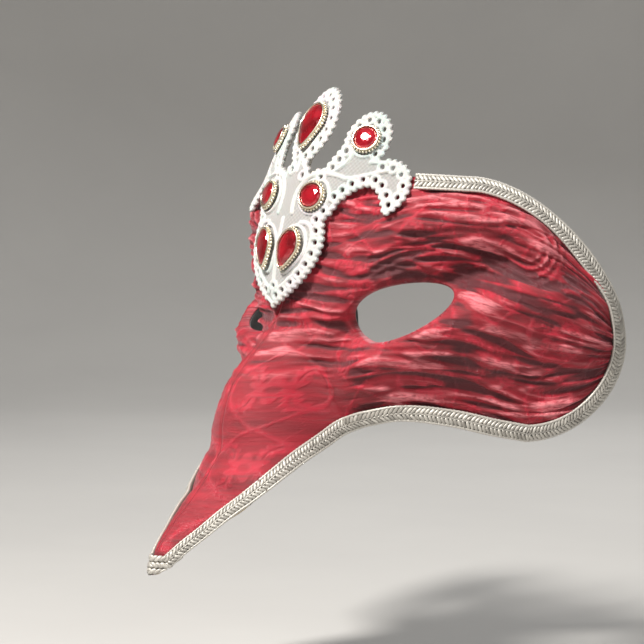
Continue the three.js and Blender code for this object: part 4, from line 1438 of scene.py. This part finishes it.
def cut_stone(name, stone):
    """A faceted stone: the hull of its corners, with coplanar faces merged."""
    points = seated(stone_points(stone), crest_seat(stone))
    work = bmesh.new()
    for point in points:
        work.verts.new(point)
    bmesh.ops.convex_hull(work, input=work.verts)
    loose = [v for v in work.verts if not v.link_faces]
    bmesh.ops.delete(work, geom=loose, context="VERTS")
    bmesh.ops.dissolve_limit(work, angle_limit=math.radians(2), verts=work.verts, edges=work.edges)
    work.verts.index_update()
    new_piece(f"gem_{name}", *drained(work), [STONE], node=f"stone_{name}", slot="stone", shade=False)


def bead(radius):
    """A small ball: its points and faces."""
    work = bmesh.new()
    bmesh.ops.create_icosphere(work, subdivisions=2, radius=radius)
    return drained(work)


def stone_cup(name, stone):
    """A collet: a thin wall with a rolled lip, and a row of beads round its foot."""
    turn = full_turn(72)
    inner = -0.45 * stone["half_width"]
    profile = [(inner, 0.3), (0.9, 0.3), (1.0, 0.6), (0.85, 1.5), (0.95, 1.8), (0.7, 2.05), (0.35, 1.95),
               (0.25, 1.7), (0.25, 0.6), (inner, 0.6)]
    wall = np.concatenate([np.column_stack([stone_outline(stone, grow, turn), np.full(len(turn), height)])
                           for grow, height in profile])
    parts = [(wall, loop_faces(len(profile), len(turn), closed=True), np.ones(len(wall)), 0)]
    line = stone_outline(stone, 1.15, np.linspace(0, 2 * np.pi, 400))
    run = run_along(line)
    at = np.linspace(0, run[-1], round(run[-1] / BEAD_PITCH), endpoint=False)
    grain, grain_faces = bead(BEAD_RADIUS)
    parts += [(grain + (x, y, BEAD_HEIGHT), grain_faces, np.ones(len(grain)), 0)
              for x, y in points_at(line, run, at)]
    points, faces, _tones, _slots = joined(parts)
    new_piece(f"collet_{name}", seated(points, crest_seat(stone)), faces, [GILT], node=f"cup_{name}",
              slot="stone_cup")


# ---------- tie anchors ----------
TAB_BEND = 1.8  # radius of the tape's middle round the bar
TAPE_HALF = 0.32  # half its thickness
RIB_PITCH = 0.85


def tie_seat(side):
    """The D-ring's bar: x runs back along the wall, y off the wall and z up it."""
    def wall(angle, rise):
        place = (np.array([float(v)]) for v in (angle, TAB_Z + rise, LINING[1]))
        return layer_point(*place)[0]

    up = unit(wall(TAB_ANGLE, TAB_HEIGHT / 2) - wall(TAB_ANGLE, -TAB_HEIGHT / 2))
    away = unit(np.cross(up, wall(TAB_ANGLE, 0) - wall(TAB_ANGLE - 10, 0)))
    basis = np.stack([np.cross(away, up), away, up])
    origin = wall(TAB_ANGLE, 0) + away * TAB_STANDOFF
    flip = np.array([side, 1, 1])
    return basis * flip, origin * flip


def tape_loop():
    """The tape's middle line, from its sewn end round the D-ring's bar and back: points (x, y)."""
    turn = np.linspace(-np.pi / 2, 0.78 * np.pi, 60)
    bow = np.stack([TAB_BEND * np.cos(turn), TAB_BEND * np.sin(turn)], -1)
    out = np.linspace((0.4 - TAB_LENGTH, -TAB_BEND), (0, -TAB_BEND), 90)
    back = bezier(bow[-1], (-2.6, 0.4), (-3.2, -0.98), (-4.6, -1.0), (-7, -1.0), (-10, -1.0),
                  (-TAB_LENGTH + 0.9, -1.0))
    return np.concatenate([out[:-1], bow, back[1:]])


def tab_stitches():
    """The stitches that hold the tab, a box with a cross: (x, z, 0, turn, 0) for each, on the tape's face."""
    left, right, half_height = -12.1, -4.9, 3.9
    places = []
    for z in (-half_height, half_height):
        places += [(x, z, 0, 0, 0) for x in np.arange(left + 0.5, right - 0.1, 1.9)]
    for x in (left, right):
        places += [(x, z, 0, math.pi / 2, 0) for z in np.arange(-3.0, 3.4, 1.9)]
    wide, tall = 6.6, 7.0
    for lean in (1, -1):
        turn = lean * math.atan2(tall, wide)
        places += [(-8.5 + t * wide / 2, lean * t * tall / 2, 0, turn, 0) for t in (-0.75, -0.3, 0.3, 0.75)]
    return places


def tie_tab(word, side):
    """Grosgrain tape folded round the D-ring's bar, its ends sewn down with a box of stitches."""
    line = tape_loop()
    run = run_along(line)
    at = np.linspace(0, run[-1], 420)
    line = points_at(line, run, at)
    ahead = unit(np.gradient(line, axis=0))
    out = np.stack([ahead[:, 1], -ahead[:, 0]], -1)
    rib = np.cos(2 * np.pi * at / RIB_PITCH)
    half, wide = TAPE_HALF + 0.07 * rib, TAB_HEIGHT / 2 + 0.08 * rib
    section = [(1, -1), (1, -0.94), (1, 0.94), (1, 1), (-1, 1), (-1, 0.94), (-1, -0.94), (-1, -1)]
    rings = [np.column_stack([line + out * (half * t * (0.55 if abs(w) == 1 else 1))[:, None], wide * w])
             for t, w in section]
    tape = np.stack(rings, 1).reshape(-1, 3)
    places = tab_stitches()
    sewn, *rest = scattered(capsule(1.5, 0.42, 0.42, 6, 4), places, np.full(len(places), 0.7), 1)
    sewn = np.stack([sewn[:, 0], -0.62 + sewn[:, 2], sewn[:, 1]], -1)
    points, faces, tones, slots = joined(
        [(tape, rod_faces(len(line), len(section)), np.ones(len(tape)), 0), (sewn, *rest)])
    new_piece(f"tie_tab_{word}_tape", seated(points, tie_seat(side)), faces, [TAPE, RED_THREAD],
              node=f"tie_tab_{word}", slot="tape", extras={"tone": tones}, face_materials=slots)


def d_ring(word, side):
    """A wire ring: an upright bar and a half-round bow, its butt joint hidden in the tab."""
    bow_turn = np.linspace(-np.pi / 2, np.pi / 2, 61)
    bow = np.stack([2 + RING_REACH * np.cos(bow_turn), RING_BOW * np.sin(bow_turn)], -1)
    foot = bezier((0, 1 - RING_BOW), (0, 0.45 - RING_BOW), (0.4, 0.1 - RING_BOW), (2, -RING_BOW))
    bar = np.stack([np.zeros(24), np.linspace(RING_BOW - 1, 1 - RING_BOW, 24)], -1)
    line = np.concatenate([foot[:-1], bow, (foot * (1, -1))[::-1][1:-1], bar[:-1]])
    lean = np.array([math.cos(RING_REST), math.sin(RING_REST)])
    path = np.stack([line[:, 0] * lean[0], line[:, 0] * lean[1], line[:, 1]], -1)
    flat = np.array([-lean[1], lean[0], 0])
    ahead = np.roll(path, -1, 0) - np.roll(path, 1, 0)
    across = unit(np.cross(flat, ahead))
    turn = full_turn(20)[None, :, None]
    rings = path[:, None] + RING_WIRE * (np.cos(turn) * across[:, None] + np.sin(turn) * flat)
    new_piece(f"d_ring_{word}", seated(rings.reshape(-1, 3), tie_seat(side)),
              loop_faces(len(path), turn.size, closed=True), [NICKEL], body=f"ring_{word}",
              node=f"tie_ring_{word}", slot="ring_wire")


# ---------- the mask ----------
random = np.random.default_rng(SEED)
shell()
felt = lining()
pad = brow_pad()
covers = [cover(side) for side in SIDES]
joint, tip = (float(np.interp(share, EDGE_SHARE, EDGE_LENGTH)) for share in (share_at_joint(), BRAID_TIP))
for side, word in SIDES.items():
    braid(f"face_{word}", 0.0, joint, side, random)
    braid(f"nose_{word}", joint, tip, side, random)
    tie_tab(word, side)
    d_ring(word, side)
braid_tip(random)
crest = crest_lace()
stiffener = crest_backing()
for key, stone in STONES.items():
    stone_cup(key, stone)
    cut_stone(key, stone)


# ---------- stage ----------
FLOOR_Z = -0.135
FLOOR_REACH = 1.0  # the flat floor's radius
WALL_BEND = 0.6
WALL_HEIGHT = 2.4
CAMERA_AZIMUTH = 52
CAMERA_ELEVATION = 4
LENS = 150
MARGIN = 1.06  # of the frame round the mask


def stage():
    """A pale round floor that curves up into a wall all round."""
    bend = np.linspace(0, np.pi / 2, 14)
    reach = np.concatenate([[0.02], FLOOR_REACH + WALL_BEND * np.sin(bend), [FLOOR_REACH + WALL_BEND]])
    height = np.concatenate([[0], WALL_BEND * (1 - np.cos(bend)), [WALL_HEIGHT]])
    turn = full_turn(72)
    reach, height = reach[:, None], FLOOR_Z + height[:, None]
    rings = [reach * np.sin(turn), reach * np.cos(turn), height + 0 * turn]
    faces = [list(range(len(turn)))[::-1], *loop_faces(len(reach), len(turn)).tolist()]
    mesh = bpy.data.meshes.new("studio_floor")
    mesh.from_pydata(np.stack(rings, -1).reshape(-1, 3).tolist(), [], faces)
    mesh.materials.append(stage_material())
    mesh.shade_smooth()
    floor = bpy.data.objects.new("studio_floor", mesh)
    bpy.context.scene.collection.objects.link(floor)
    floor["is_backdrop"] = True


def area_light(name, place, aim, size, watts, colour=(1, 1, 1)):
    """A round soft light of a size in metres."""
    light = bpy.data.lights.new(name, "AREA")
    light.shape = "DISK"
    light.size = size
    light.energy = watts
    light.color = colour
    lamp = bpy.data.objects.new(name, light)
    lamp.location = place
    lamp.rotation_euler = (Vector(aim) - Vector(place)).to_track_quat("-Z", "Y").to_euler()
    bpy.context.scene.collection.objects.link(lamp)


def around(azimuth, elevation, distance):
    """A place seen from the middle: degrees from straight ahead towards +X, degrees up, and metres."""
    a, e = math.radians(azimuth), math.radians(elevation)
    return Vector((math.sin(a) * math.cos(e), -math.cos(a) * math.cos(e), math.sin(e))) * distance


def lights():
    """A small warm key from the front, a soft fill from the mask's left, and one light behind."""
    middle = Vector((0, 0.01, 0))
    area_light("key", middle + around(14, 50, 0.9), middle, 0.2, 15, (1, 0.97, 0.93))
    area_light("fill", middle + around(80, 18, 1.1), middle, 0.9, 2.0, (0.95, 0.97, 1))
    area_light("back", middle + around(215, 40, 1.1), middle, 0.6, 6)
    world = bpy.data.worlds.new("studio")
    world.use_nodes = True
    world.node_tree.nodes["Background"].inputs[0].default_value = (0.9, 0.92, 0.95, 1)
    world.node_tree.nodes["Background"].inputs[1].default_value = 0.26
    bpy.context.scene.world = world
    bpy.context.scene.view_settings.view_transform = "Standard"


def camera():
    """The photograph's angle, with the whole mask in the frame."""
    low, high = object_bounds()
    corners = [Vector((x, y, z)) for x in (low.x, high.x) for y in (low.y, high.y) for z in (low.z, high.z)]
    back = around(CAMERA_AZIMUTH, CAMERA_ELEVATION, 1)
    turn = (-back).to_track_quat("-Z", "Y")
    right, up = turn @ Vector((1, 0, 0)), turn @ Vector((0, 1, 0))
    spans = [(min(c.dot(v) for c in corners), max(c.dot(v) for c in corners)) for v in (right, up)]
    middle = (low + high) / 2
    middle += right * (sum(spans[0]) / 2 - middle.dot(right)) + up * (sum(spans[1]) / 2 - middle.dot(up))
    reach = max(b - a for a, b in spans) / 2 * MARGIN
    data = bpy.data.cameras.new("camera")
    data.lens = LENS
    data.clip_start = 0.05
    data.clip_end = 20
    camera_object = bpy.data.objects.new("camera", data)
    camera_object.rotation_mode = "QUATERNION"
    camera_object.rotation_quaternion = turn
    camera_object.location = middle + back * (reach * LENS / (data.sensor_width / 2))
    bpy.context.scene.collection.objects.link(camera_object)
    bpy.context.scene.camera = camera_object


stage()
lights()
camera()
